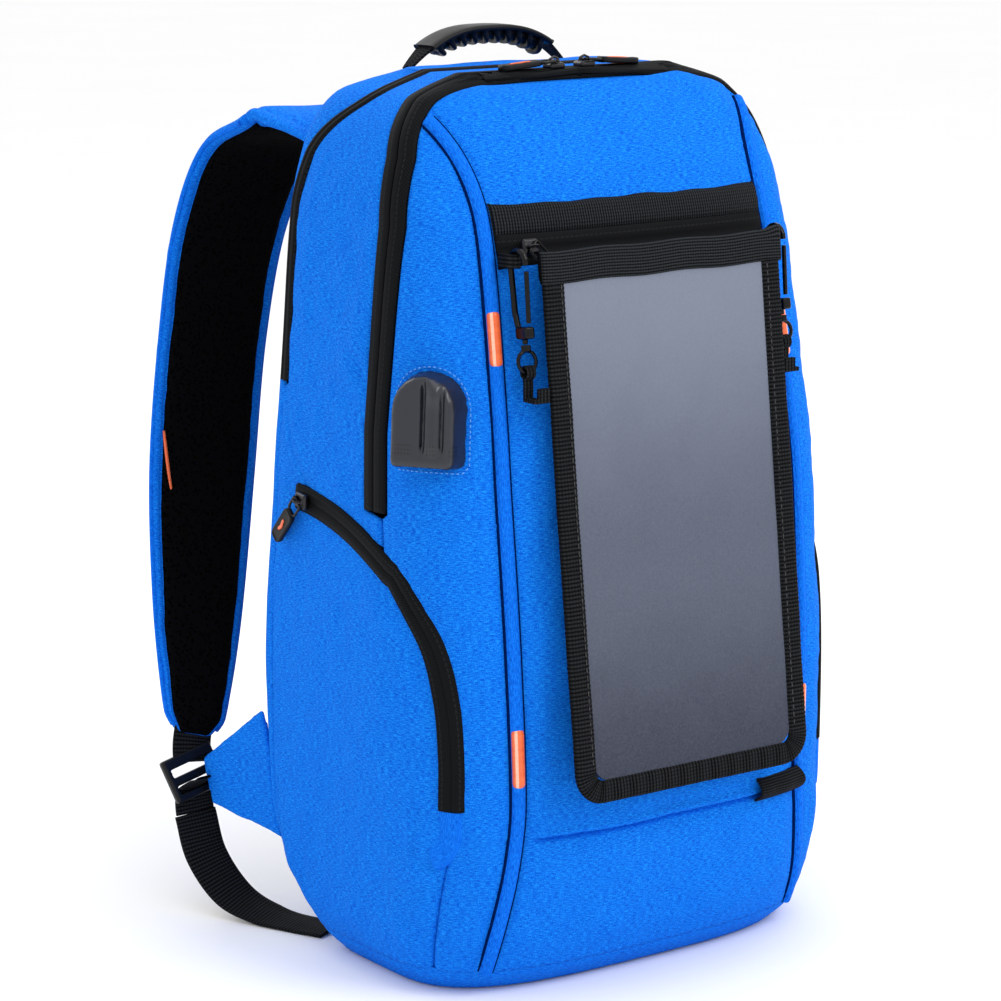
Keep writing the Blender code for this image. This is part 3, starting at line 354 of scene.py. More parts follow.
def make_stage():
    """A white floor and world, and soft lights from the front right, the left, behind and above."""
    scene = bpy.context.scene
    scene.view_settings.view_transform = "Standard"
    scene.view_settings.look = "None"
    world = bpy.data.worlds.new("studio")
    scene.world = world
    world.use_nodes = True
    background = world.node_tree.nodes["Background"]
    background.inputs["Color"].default_value = (1.0, 1.0, 1.0, 1)
    background.inputs["Strength"].default_value = 1.0
    area_light("key", (0.8, -1.7, 2.0), (0, 0, 0.26), (1.2, 1.2), 24)
    area_light("fill", (-1.6, -1.9, 0.9), (0, 0, 0.24), (1.4, 1.8), 1)
    area_light("rim", (-0.3, 1.9, 1.6), (0, 0, 0.3), (1.6, 0.9), 9)
    area_light("top", (0.1, -0.1, 2.1), (0, 0, 0.2), (1.4, 1.4), 6)
    reach, under = 40.0, -0.0002
    points = [(x * reach, y * reach, under) for x, y in ((-1, -1), (1, -1), (1, 1), (-1, 1))]
    mesh = bpy.data.meshes.new("floor")
    mesh.from_pydata(points, [], [(0, 1, 2, 3)])
    floor = bpy.data.objects.new("floor", mesh)
    scene.collection.objects.link(floor)
    paper = Finish("studio_floor", "object", roughness=0.9)
    grain = paper.noise(paper.scaled(3), 3)
    paper.colour(paper.ramp(grain, ((0.3, (0.972, 0.972, 0.974)), (0.7, (0.985, 0.985, 0.985)))))
    floor.data.materials.append(paper.material)


# ---------------------------------------------------------------------------------------------- materials


class Finish:
    """A Principled material with a few helpers. Cloth reads UVs in metres, hard parts read object space."""

    def __init__(self, name, space="uv", roughness=0.6, metallic=0.0, sheen=0.0, coat=0.0, specular=0.5):
        self.material = bpy.data.materials.new(name)
        self.material.use_nodes = True
        self.tree = self.material.node_tree
        self.shader = self.tree.nodes["Principled BSDF"]
        look = {
            "Roughness": roughness,
            "Metallic": metallic,
            "Sheen Weight": sheen,
            "Sheen Roughness": 0.45,
            "Coat Weight": coat,
            "Coat Roughness": 0.25,
            "Specular IOR Level": specular,
        }
        for socket, value in look.items():
            self.shader.inputs[socket].default_value = value
        source = self.tree.nodes.new("ShaderNodeTexCoord")
        self.place = source.outputs["UV" if space == "uv" else "Object"]
        self.last_normal = None

    def node(self, kind, inputs=(), **settings):
        made = self.tree.nodes.new(kind)
        for key, value in settings.items():
            setattr(made, key, value)
        for key, value in dict(inputs).items():
            self.put(made.inputs[key], value)
        return made

    def put(self, socket, value):
        if isinstance(value, bpy.types.NodeSocket):
            self.tree.links.new(value, socket)
        elif isinstance(value, tuple) and len(value) == 3 and socket.type == "RGBA":
            socket.default_value = (*value, 1)
        else:
            socket.default_value = value

    def scaled(self, *size, turn=0.0):
        size = size * 3 if len(size) == 1 else (*size, 1.0)[:3]
        made = self.node("ShaderNodeMapping", {"Vector": self.place, "Scale": tuple(size)})
        made.inputs["Rotation"].default_value = (0, 0, turn)
        return made.outputs["Vector"]

    def noise(self, vector, detail, rough=0.5):
        inputs = {"Vector": vector, "Scale": 1.0, "Detail": detail, "Roughness": rough}
        made = self.node("ShaderNodeTexNoise", inputs)
        return made.outputs["Fac"]

    def cells(self, vector, scale):
        made = self.node("ShaderNodeTexVoronoi", {"Vector": vector, "Scale": scale}, feature="F1")
        return made.outputs["Distance"]

    def wave(self, vector, scale, axis, distortion=0.0):
        inputs = {"Vector": vector, "Scale": scale, "Distortion": distortion}
        made = self.node("ShaderNodeTexWave", inputs, bands_direction=axis)
        return made.outputs["Fac"]

    def weave(self, scale):
        """Threads running both ways."""
        return self.math("ADD", *[self.wave(self.scaled(1, 1), scale, axis) for axis in "XY"])

    def math(self, operation, a, b=0.5, c=0.5):
        made = self.node("ShaderNodeMath", operation=operation)
        for socket, value in zip(made.inputs, (a, b, c)):
            self.put(socket, value)
        return made.outputs[0]

    def apart(self, vector):
        return self.node("ShaderNodeSeparateXYZ", {0: vector}).outputs

    def ramp(self, value, stops, smooth=False):
        made = self.node("ShaderNodeValToRGB", {"Fac": value})
        made.color_ramp.interpolation = "EASE" if smooth else "LINEAR"
        elements = made.color_ramp.elements
        while len(elements) < len(stops):
            elements.new(0.5)
        for element, (place, colour) in zip(elements, stops):
            element.position = place
            element.color = (*colour, 1) if isinstance(colour, tuple) else (colour, colour, colour, 1)
        return made.outputs["Color"]

    def mix(self, share, a, b):
        made = self.node("ShaderNodeMix", data_type="RGBA")
        self.put(made.inputs[0], share)
        self.put(made.inputs[6], a)
        self.put(made.inputs[7], b)
        return made.outputs[2]

    def bump(self, height, distance, strength=1.0):
        made = self.node("ShaderNodeBump", {"Height": height, "Distance": distance, "Strength": strength})
        if self.last_normal is not None:
            self.put(made.inputs["Normal"], self.last_normal)
        self.last_normal = made.outputs["Normal"]
        self.put(self.shader.inputs["Normal"], self.last_normal)

    def colour(self, value):
        self.put(self.shader.inputs["Base Color"], value)

    def rough(self, value, low, high):
        made = self.node("ShaderNodeMapRange", {"Value": value, "To Min": low, "To Max": high})
        self.put(self.shader.inputs["Roughness"], made.outputs["Result"])


def melange(name, dark, mid, bright):
    """Two-tone woven polyester: short slubs along and across the weave over a fine thread pattern."""
    cloth = Finish(name, roughness=0.85, specular=0.06)
    across = cloth.noise(cloth.scaled(330, 2300), 3.0, 0.65)
    along = cloth.noise(cloth.scaled(2300, 700), 2.0, 0.6)
    patch = cloth.noise(cloth.scaled(60, 60), 3.0, 0.6)
    thread = cloth.math("MULTIPLY_ADD", across, 0.68, cloth.math("MULTIPLY", along, 0.32))
    tone = cloth.math("ADD", thread, cloth.math("MULTIPLY_ADD", patch, 0.05, -0.025))
    cloth.colour(cloth.ramp(tone, ((0.37, dark), (0.49, mid), (0.60, bright))))
    weave = cloth.weave(190)
    cloth.bump(cloth.math("ADD", cloth.math("MULTIPLY", weave, 0.4), thread), 0.00022, 0.55)
    cloth.rough(patch, 0.74, 0.9)
    return cloth.material


def webbing(name, pitch_along, pitch_across, black_with_painted_light, height=0.00035):
    """Ribbed woven tape: raised float rows across the tape, broken by warp lines along it. Its colour
    carries painted light on the rib crests and painted shade between the ribs.
    """
    tape = Finish(name, "uv", roughness=0.72, specular=0.05)
    wobble = tape.noise(tape.scaled(900), 3)
    rib = tape.wave(tape.scaled(1, 1), pitch_along, "X", 0.6)
    warp = tape.wave(tape.scaled(1, 1), pitch_across, "Y", 0.6)
    ribs_relief_and_painted_light = tape.math("MULTIPLY", rib, tape.math("MULTIPLY_ADD", warp, 0.55, 0.45))
    tone = tape.math("MULTIPLY_ADD", wobble, 0.35, tape.math("MULTIPLY", ribs_relief_and_painted_light, 0.8))
    # Painted light and shade: the ramp runs from near-black in the dips between ribs to dark grey on the
    # crests, over the tape's own black.
    tape.colour(tape.ramp(tone, ((0.15, black_with_painted_light[0]), (0.95, black_with_painted_light[1]))))
    tape.bump(tape.math("MULTIPLY_ADD", wobble, 0.3, ribs_relief_and_painted_light), height, 0.9)
    return tape.material


def zip_tape_finish():
    """Coated tape with a fine twill, and a row of stitches on each side of the teeth."""
    tape = Finish("zip_tape_coated", "uv", roughness=0.6, specular=0.06)
    x, y, _ = tape.apart(tape.scaled(1, 1))
    twill = tape.wave(tape.scaled(1, 1, turn=0.7), 240, "X")
    grain = tape.noise(tape.scaled(900), 2)
    row = tape.math("COMPARE", tape.math("ABSOLUTE", y), 0.0048, 0.0004)
    dash = tape.math("GREATER_THAN", tape.math("FRACT", tape.math("MULTIPLY", x, 330)), 0.32)
    stitch = tape.math("MULTIPLY", row, dash)
    tone = tape.math("MULTIPLY_ADD", grain, 0.5, tape.math("MULTIPLY", twill, 0.5))
    base = tape.ramp(tone, ((0.2, (0.0018, 0.002, 0.0024)), (0.9, (0.0075, 0.0085, 0.010))))
    tape.colour(tape.mix(stitch, base, (0.012, 0.013, 0.015)))
    tape.bump(tape.math("MULTIPLY_ADD", twill, 0.3, grain), 0.0001, 0.5)
    tape.bump(stitch, 0.00035, 0.8)
    return tape.material


def air_mesh():
    """Knitted spacer mesh: round holes in a springy black knit, with painted shade in the holes."""
    knit = Finish("air_mesh", "uv", roughness=0.9, specular=0.02)
    holes = knit.cells(knit.scaled(1, 1), 420)
    yarn = knit.noise(knit.scaled(1800), 2)
    holes_relief_and_painted_shade = knit.ramp(holes, ((0.22, 0.0), (0.45, 1.0)))
    yarns = ((0.0, (0.0010, 0.0010, 0.0012)), (0.6, (0.0045, 0.0045, 0.0052)))
    tone = knit.ramp(knit.math("MULTIPLY_ADD", yarn, 0.4, 0.1), yarns)
    # The holes get a near-black colour: painted shade down inside them.
    knit.colour(knit.mix(holes_relief_and_painted_shade, (0.0004, 0.0004, 0.0005), tone))
    knit.bump(holes_relief_and_painted_shade, 0.0006, 0.9)
    knit.bump(yarn, 0.0001, 0.5)
    return knit.material


def moulded(name, colour, roughness, grain=0.00004, coat=0.0, shine=0.16):
    """Moulded rubber or plastic with a fine mould grain and rubbed patches."""
    stuff = Finish(name, "object", roughness=roughness, coat=coat, specular=shine)
    fine = stuff.noise(stuff.scaled(2600), 2)
    rubbed = stuff.noise(stuff.scaled(90), 3)
    darker = tuple(c * 0.72 for c in colour)
    lighter = tuple(c * 1.45 + 0.004 for c in colour)
    stuff.colour(stuff.ramp(rubbed, ((0.3, darker), (0.55, colour), (0.78, lighter))))
    stuff.rough(rubbed, roughness - 0.08, roughness + 0.1)
    stuff.bump(fine, grain, 0.6)
    return stuff.material


def hood_finish():
    """Satin rubber with two groups of small dents near the hood's foot, with painted shade inside each dent.
    """
    skin = Finish("rubber_hood", "uv", roughness=0.30, specular=0.55)
    x, y, _ = skin.apart(skin.place)
    fine = skin.noise(skin.scaled(2200), 2)
    cell_x = skin.math("SUBTRACT", skin.math("FRACT", skin.math("MULTIPLY", x, 560)), 0.5)
    cell_y = skin.math("SUBTRACT", skin.math("FRACT", skin.math("MULTIPLY", y, 460)), 0.5)
    spread = skin.math("ADD", skin.math("MULTIPLY", cell_x, cell_x), skin.math("MULTIPLY", cell_y, cell_y))
    pit = skin.math("LESS_THAN", spread, 0.085)
    rows = skin.math("COMPARE", y, -0.0165, 0.0030)
    left = skin.math("COMPARE", x, 0.0105, 0.0058)
    right = skin.math("COMPARE", x, -0.0065, 0.0030)
    dents_relief_and_painted_shade = skin.math("MULTIPLY", skin.math("MULTIPLY", pit, rows), skin.math("MAXIMUM", left, right))
    tone = skin.ramp(fine, ((0.3, (0.0080, 0.0092, 0.0160)), (0.7, (0.0120, 0.0136, 0.0225))))
    # Near-black inside the dents: painted shade in the hollows, over the bump that presses them in.
    skin.colour(skin.mix(dents_relief_and_painted_shade, tone, (0.0008, 0.0008, 0.0010)))
    skin.bump(fine, 0.00003, 0.4)
    skin.bump(skin.math("SUBTRACT", 1.0, dents_relief_and_painted_shade), 0.0004, 0.9)
    return skin.material


def hardware(name, colour, roughness):
    """Plated metal with faint handling marks."""
    plate = Finish(name, "object", roughness=roughness, metallic=0.85, coat=0.3)
    marks = plate.noise(plate.scaled(160, 1200), 3)
    darker, lighter = (tuple(c * share for c in colour) for share in (0.7, 1.4))
    plate.colour(plate.ramp(marks, ((0.3, darker), (0.7, lighter))))
    plate.rough(marks, roughness - 0.06, roughness + 0.14)
    plate.bump(marks, 0.00003, 0.4)
    return plate.material


def solar_film():
    """Matte laminate: lighter towards the top edge as painted light, with a faint mottle and fine flecks
    under the film.
    """
    film = Finish("solar_film", "object", roughness=0.48, coat=0.05, specular=0.14)
    _, _, z = film.apart(film.place)
    mottle = film.noise(film.scaled(38), 4)
    fleck = film.noise(film.scaled(900), 2)
    # Painted light: the colour rises with height, so the film is lighter where the light falls near its top.
    height = film.math("MULTIPLY_ADD", z, 3.75, -0.42)
    tone = film.math("ADD", height, film.math("MULTIPLY_ADD", mottle, 0.10, -0.05))
    tones = ((0.0, (0.012, 0.016, 0.036)), (0.45, (0.066, 0.078, 0.115)), (1.0, (0.150, 0.172, 0.230)))
    base = film.ramp(tone, tones, True)
    film.colour(film.mix(film.math("MULTIPLY", fleck, 0.08), base, (0.6, 0.62, 0.7)))
    film.rough(mottle, 0.36, 0.5)
    film.bump(fleck, 0.00004, 0.35)
    return film.material


def two_tone(name, space, size, tones, bump, detail=2, **look):
    """Two close tones mixed by a noise of a given size, with a bump of the same noise."""
    stuff = Finish(name, space, **look)
    grain = stuff.noise(stuff.scaled(*size), detail)
    stuff.colour(stuff.ramp(grain, tuple(zip((0.3, 0.7), tones))))
    stuff.bump(grain, *bump)
    return stuff.material


def lining_finish():
    """Thin cloth with a square rip-stop weave."""
    lining = Finish("lining", roughness=0.8, sheen=0.1)
    rip = lining.weave(90)
    lining.colour(lining.ramp(rip, ((0.2, (0.020, 0.021, 0.024)), (1.0, (0.045, 0.047, 0.052)))))
    lining.bump(rip, 0.0001, 0.6)
    return lining.material


def make_finishes():
    # Tape colours from near-black to dark grey: the webbing's own black, darkened as painted shade and
    # lightened as painted light by the rib pattern.
    webbing_black_and_painted_light = ((0.0005, 0.0005, 0.0007), (0.022, 0.024, 0.027))
    coarse_black_and_painted_light = ((0.0004, 0.0005, 0.0007), (0.034, 0.038, 0.043))
    tones = {
        "orange": ((0.76, 0.098, 0.012), (0.87, 0.145, 0.026)),
        "plain": ((0.010, 0.010, 0.012), (0.028, 0.028, 0.031)),
        "board": ((0.58, 0.58, 0.56), (0.74, 0.74, 0.72)),
        "thread": ((0.03, 0.22, 0.80), (0.12, 0.42, 0.98)),
        "dark_thread": ((0.012, 0.012, 0.013), (0.040, 0.040, 0.044)),
        "highlight_line": ((0.84, 0.40, 0.26), (0.93, 0.54, 0.40)),
        "groove_shade": ((0.0004, 0.006, 0.05), (0.0010, 0.014, 0.10)),
    }
    return {
        "blue": melange("melange_blue", (0.0008, 0.056, 0.47), (0.0018, 0.138, 0.70), (0.0120, 0.275, 0.89)),
        "blue_trim": melange("melange_trim", (0.001, 0.070, 0.5), (0.002, 0.130, 0.7), (0.008, 0.21, 0.88)),
        "webbing": webbing("webbing_black", 150, 170, webbing_black_and_painted_light),
        "coarse": webbing("webbing_coarse", 200, 190, coarse_black_and_painted_light, 0.0005),
        "zip": zip_tape_finish(),
        "mesh": air_mesh(),
        "rubber": moulded("rubber_black", (0.0050, 0.0054, 0.0070), 0.42),
        "grip": moulded("rubber_grip", (0.0045, 0.0050, 0.0065), 0.40),
        "plastic": moulded("plastic_black", (0.0040, 0.0040, 0.0048), 0.30, coat=0.15),
        "gloss": moulded("gloss_black", (0.0012, 0.0012, 0.0016), 0.16, 0.00002, shine=0.22),
        "metal": hardware("black_nickel", (0.016, 0.016, 0.019), 0.26),
        "steel": hardware("socket_plating", (0.56, 0.56, 0.57), 0.32),
        "film": solar_film(),
        "hood": hood_finish(),
        "lining": lining_finish(),
        "orange": two_tone(
            "orange_sleeve", "uv", (300, 40), tones["orange"], (0.00008, 0.5), roughness=0.38, coat=0.4
        ),
        "plain": two_tone(
            "plain_lining", "object", (700,), tones["plain"], (0.0002, 0.6), 3, roughness=0.85, sheen=0.1
        ),
        "board": two_tone(
            "fibre_board", "object", (400, 1200), tones["board"], (0.0001, 0.5), 3, roughness=0.65
        ),
        "thread": two_tone(
            "blue_thread", "object", (1500,), tones["thread"], (0.00005, 0.5), roughness=0.6, sheen=0.2
        ),
        "dark_thread": two_tone(
            "black_thread", "object", (1500,), tones["dark_thread"], (0.00005, 0.5), roughness=0.6, sheen=0.1
        ),
        # Pale orange of the painted highlight line on the sleeves.
        "highlight_line": two_tone("painted_highlight_line", "uv", (900,), tones["highlight_line"], (0.00005, 0.5), roughness=0.35),
        # Dark blue of the painted shade in the creases beside the piping.
        "groove_shade": two_tone(
            "painted_seam_shade", "uv", (500, 900), tones["groove_shade"], (0.0001, 0.5), roughness=0.9, specular=0.0
        ),
    }


# --------------------------------------------------------------------------------------------- mesh making


def mesh_object(name, points, faces, uvs, finishes, slots=None):
    """An object from points and faces. uvs: a pair for each face corner. slots: a finish for each face."""
    mesh = bpy.data.meshes.new(name)
    places = np.asarray(points, float).reshape(-1, 3).tolist()
    mesh.from_pydata(places, [], [tuple(int(i) for i in face) for face in faces])
    if uvs is not None:
        layer = mesh.uv_layers.new(name="UVMap")
        layer.data.foreach_set("uv", np.asarray(uvs, np.float32).ravel())
    for finish in finishes:
        mesh.materials.append(FINISH[finish])
    if slots is not None:
        mesh.polygons.foreach_set("material_index", np.asarray(slots, np.int32))
    mesh.shade_smooth()
    obj = bpy.data.objects.new(name, mesh)
    bpy.context.scene.collection.objects.link(obj)
    return obj


def grid(name, points, finishes, outward=None, wrap=False, uv=None, slot_of=None, caps=True):
    """A quad grid over points[row, column]. wrap closes each row into a loop, and caps then closes the ends.

    outward holds the way out at each point: without it, that is away from the middle of the point's row.
    UVs are lengths in metres. slot_of(rows, columns) gives the finish of each face.
    """
    points = np.asarray(points, float)
    rows, cols = points.shape[:2]
    if uv is None:
        closed = np.concatenate([points, points[:, :1]], axis=1) if wrap else points
        across = np.zeros(closed.shape[:2])
        across[:, 1:] = np.cumsum(np.linalg.norm(np.diff(closed, axis=1), axis=2), axis=1)
        across -= across[:, across.shape[1] // 2][:, None]
        down = np.zeros(closed.shape[:2])
        down[1:] = np.cumsum(np.linalg.norm(np.diff(closed, axis=0), axis=2), axis=0)
        middle = down[:, down.shape[1] // 2][:, None]
        uv = np.stack([across, 0.5 * down + 0.5 * middle], axis=-1)
    index = np.arange(rows * cols).reshape(rows, cols)
    right = np.roll(index, -1, axis=1) if wrap else index[:, 1:]
    left = index if wrap else index[:, :-1]
    faces = np.stack([left[:-1], right[:-1], right[1:], left[1:]], axis=-1).reshape(-1, 4)
    corners = np.stack([uv[:-1, :-1], uv[:-1, 1:], uv[1:, 1:], uv[1:, :-1]], axis=2).reshape(-1, 4, 2)
    slots = slot_of(rows - 1, left.shape[1]).ravel() if slot_of else None
    flat = points.reshape(-1, 3)
    a, b, c, _ = (flat[faces[:, k]] for k in range(4))
    if outward is None:
        outward = points - points.mean(axis=1, keepdims=True)
    toward = np.asarray(outward, float).reshape(-1, 3)[faces[:, 0]]
    if (np.cross(b - a, c - a) * toward).sum() < 0:
        faces, corners = faces[:, ::-1], corners[:, ::-1]
    faces, corners = [tuple(f) for f in faces], [tuple(map(tuple, c)) for c in corners]
    if wrap and caps:
        ends = (index[0][::-1], index[-1])
        a, b, c, _ = (flat[k] for k in faces[0])
        if np.cross(b - a, c - a) @ toward[0] < 0:
            ends = (index[0], index[-1][::-1])
        for end in ends:
            faces.append(tuple(end))
            corners.append(tuple((0.0, 0.0) for _ in end))
            if slots is not None:
                slots = np.append(slots, 0)
    pairs = [pair for face in corners for pair in face]
    return mesh_object(name, points, faces, pairs, finishes, slots)


def lined_panel(name, base, up, lift, thickness):
    """Lined fabric over points of the bag's form, lifted off it along up."""
    panel = grid(name, base + up * lift[..., None], ("blue", "lining"), outward=up)
    thicken(panel, thickness, 1)
    return panel


def thicken(obj, thickness, inner=0):
    """Gives a sheet its thickness on the inside; inner is the finish there, counted from the sheet's own."""
    solid = obj.modifiers.new("thickness", "SOLIDIFY")
    solid.thickness = thickness
    solid.offset = -1
    solid.material_offset = inner


def rounded(obj):
    subdivide = obj.modifiers.new("round", "SUBSURF")
    subdivide.levels = 1
    subdivide.render_levels = 1


def bevelled(obj, width, segments, angle=30):
    edge = obj.modifiers.new("edges", "BEVEL")
    edge.width = width
    edge.segments = segments
    edge.limit_method = "ANGLE"
    edge.angle_limit = math.radians(angle)
    obj.data.shade_smooth()


def apply(obj):
    bpy.context.view_layer.update()
    graph = bpy.context.evaluated_depsgraph_get()
    mesh = bpy.data.meshes.new_from_object(obj.evaluated_get(graph))
    obj.modifiers.clear()
    obj.data = mesh


def tube(name, path, radius, finish, up, flat=1.0, caps=True, taper=1.0):
    """A round or oval bar along path. flat squeezes it along up, taper scales each ring."""
    path = np.asarray(path, float)
    tangent = frames_along(path)
    side = unit(np.cross(tangent, np.asarray(up, float)))
    normal = np.cross(side, tangent)
    angle = np.linspace(0, 2 * math.pi, 10, endpoint=False)
    size = np.full(len(path), radius) * taper
    cosine, sine = np.cos(angle)[None, :, None], (np.sin(angle) * flat)[None, :, None]
    ring = side[:, None] * cosine + normal[:, None] * sine
    points = path[:, None] + ring * size[:, None, None]
    return grid(name, points, (finish,), wrap=True, caps=caps, outward=ring)


def join(name, objects):
    """Joins objects into one, keeping their materials."""
    for obj in objects:
        apply(obj)
    bpy.ops.object.select_all(action="DESELECT")
    for obj in objects:
        obj.select_set(True)
    bpy.context.view_layer.objects.active = objects[0]
    bpy.ops.object.join()
    objects[0].name = name
    return objects[0]


def stitches(name, path, ups, finish, length=0.0028, gap=0.0012, radius=0.0003):
    """A row of sewn stitches: one small rounded bead for each. ups are the ways out from the cloth."""
    path, ups = np.asarray(path, float), np.asarray(ups, float)
    along = np.linalg.norm(np.diff(path, axis=0), axis=1).sum()
    count = max(2, int(along / (length + gap)))
    places = even(path, 3 * count + 1)
    shares, given = np.linspace(0, 1, len(places)), np.linspace(0, 1, len(ups))
    ups = np.stack([np.interp(shares, given, ups[:, k]) for k in range(3)], axis=1)
    points, faces = [], []
    for k in range(count):
        middle, up = places[3 * k + 1], unit(ups[3 * k + 1])
        way = unit(places[3 * k + 2] - places[3 * k])
        side = np.cross(way, up)
        start = len(points)
        for share, size in ((-0.5, 0.35), (-0.3, 1.0), (0.3, 1.0), (0.5, 0.35)):
            for angle in np.linspace(0, 2 * math.pi, 6, endpoint=False):
                ring = side * math.cos(angle) + up * math.sin(angle)
                points.append(middle + way * (share * length) + ring * radius * size)
        for row in range(3):
            for j in range(6):
                a, b = start + row * 6 + j, start + row * 6 + (j + 1) % 6
                faces.append((a, b, b + 6, a + 6))
        faces.append(tuple(start + j for j in reversed(range(6))))
        faces.append(tuple(start + 18 + j for j in range(6)))
    return mesh_object(name, points, faces, None, (finish,))


def mirrored(profile):
    """The other half of a profile whose middle is at 0."""
    return tuple((-offset, height) for offset, height in reversed(profile))


def both_halves(half):
    """A profile from its left half, which may end on the middle."""
    return half + mirrored(half if half[-1][0] else half[:-1])


def strip(name, centre, finish, profile):
    """A tape laid on the bag along centre. profile holds (offset across, height over the bag) pairs."""
    centre = np.asarray(centre, float)
    outward = normals(centre)
    side = unit(np.cross(outward, frames_along(centre)))
    offsets, heights = np.array(profile).T
    base = centre[:, None] + side[:, None] * offsets[None, :, None]
    near_top = base[..., 2] > HEIGHT - 0.006
    base = np.where(near_top[..., None], base, project(base))
    up = unit(0.5 * normals(base) + 0.5 * outward[:, None])
    points = base + up * heights[None, :, None]
    return grid(name, points, (finish,), outward=up, uv=tape_uv(travelled(centre), offsets))


def copy_of(node, name, finish, voxel=0.0, smooth=0, bevel=0.0):
    """A piece drawn from a CAD node's surface: rounded by a fine remesh, or with bevelled edges."""
    source = frame["nodes"][node]
    work = bmesh.new()
    work.from_mesh(source.data)
    work.transform(source.matrix_world)
    bmesh.ops.remove_doubles(work, verts=work.verts, dist=4e-6)
    bmesh.ops.recalc_face_normals(work, faces=work.faces)
    mesh = bpy.data.meshes.new(name)
    work.to_mesh(mesh)
    work.free()
    obj = bpy.data.objects.new(name, mesh)
    bpy.context.scene.collection.objects.link(obj)
    if voxel:
        remesh = obj.modifiers.new("remesh", "REMESH")
        remesh.mode = "VOXEL"
        remesh.voxel_size = voxel
    if smooth:
        ease = obj.modifiers.new("ease", "SMOOTH")
        ease.factor = 0.5
        ease.iterations = smooth
    if bevel:
        bevelled(obj, bevel, 2)
    apply(obj)
    obj.data.materials.clear()
    obj.data.materials.append(FINISH[finish])
    obj.data.shade_smooth()
    return obj


def points_of(obj):
    found = np.empty(len(obj.data.vertices) * 3)
    obj.data.vertices.foreach_get("co", found)
    return found.reshape(-1, 3)


def set_points(obj, points):
    obj.data.vertices.foreach_set("co", np.asarray(points, float).ravel())
    obj.data.update()


def normals_of(obj):
    found = np.empty(len(obj.data.vertices) * 3, np.float32)
    obj.data.vertex_normals.foreach_get("vector", found)
    return found.reshape(-1, 3).astype(float)


def box_uv(obj, matrix=None):
    """UVs in metres, read along the axis that each face looks along."""
    mesh = obj.data
    turn = np.eye(4) if matrix is None else np.array(matrix.inverted())
    co = points_of(obj) @ turn[:3, :3].T + turn[:3, 3]
    loops = np.empty(len(mesh.loops), np.int32)
    mesh.loops.foreach_get("vertex_index", loops)
    starts = np.empty(len(mesh.polygons), np.int32)
    totals = np.empty(len(mesh.polygons), np.int32)
    mesh.polygons.foreach_get("loop_start", starts)
    mesh.polygons.foreach_get("loop_total", totals)
    flat = np.empty(len(mesh.polygons) * 3, np.float32)
    mesh.polygons.foreach_get("normal", flat)
    facing = np.abs(flat.reshape(-1, 3) @ turn[:3, :3].T).argmax(1)
    facing = np.repeat(facing, totals)
    before = np.repeat(np.cumsum(totals) - totals, totals)
    order = np.repeat(starts, totals) + (np.arange(len(facing)) - before)
    corner = co[loops[order]]
    seen_along = [corner[:, kept] for kept in ([1, 2], [0, 2], [0, 1])]
    pairs = np.select([facing[:, None] == k for k in range(3)], seen_along)
    uv = np.zeros((len(mesh.loops), 2), np.float32)
    uv[order] = pairs
    layer = mesh.uv_layers.get("UVMap") or mesh.uv_layers.new(name="UVMap")
    layer.data.foreach_set("uv", uv.ravel())
    return obj


def place_piece(obj, body, node):
    """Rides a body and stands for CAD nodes."""
    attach(obj, body)
    if node:
        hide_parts(*([node] if isinstance(node, str) else node))


# ---------------------------------------------------------------------------------------------- the bag


def arch_places(count):
    """Even places along the bag's arch, from foot to foot over the top: (side, z, share across the top)."""
    z = np.linspace(FOOT, HEIGHT, 600)
    side = np.stack([-side_x(np.full_like(z, 0.03), z), z], axis=1)
    path = np.concatenate([side, side[::-1] * (-1, 1)])
    line = even(path, count)
    places = []
    half = side_x(0.03, HEIGHT)
    for x, height in line:
        share = np.clip(x / half, -1, 1) if height > HEIGHT - 2e-4 else None
        places.append((-1 if x < 0 else 1, min(height, HEIGHT), share))
    return places


def arch_row(place, ys):
    """Points of one row over the arch at the given depths."""
    side, z, share = place
    ys = np.asarray(ys, float)
    if share is None:
        return xyz(side * side_x(ys, z), ys, z)
    x = share * side_x(np.clip(ys, -0.004, 0.06), HEIGHT)
    return xyz(x, ys, top_z(x, ys))


def front_edge(z):
    """The front panel's edge: the seam low down, then the main zip's front edge."""
    return np.where(z < MAIN_ZIP_FOOT, line_at(FRONT_SEAM, z), line_at(MAIN_ZIP, z) - ZIP_HALF)


def piping_distance(points):
    return np.abs(points[..., 0]) - np.interp(points[..., 2], *zip(*PIPING))


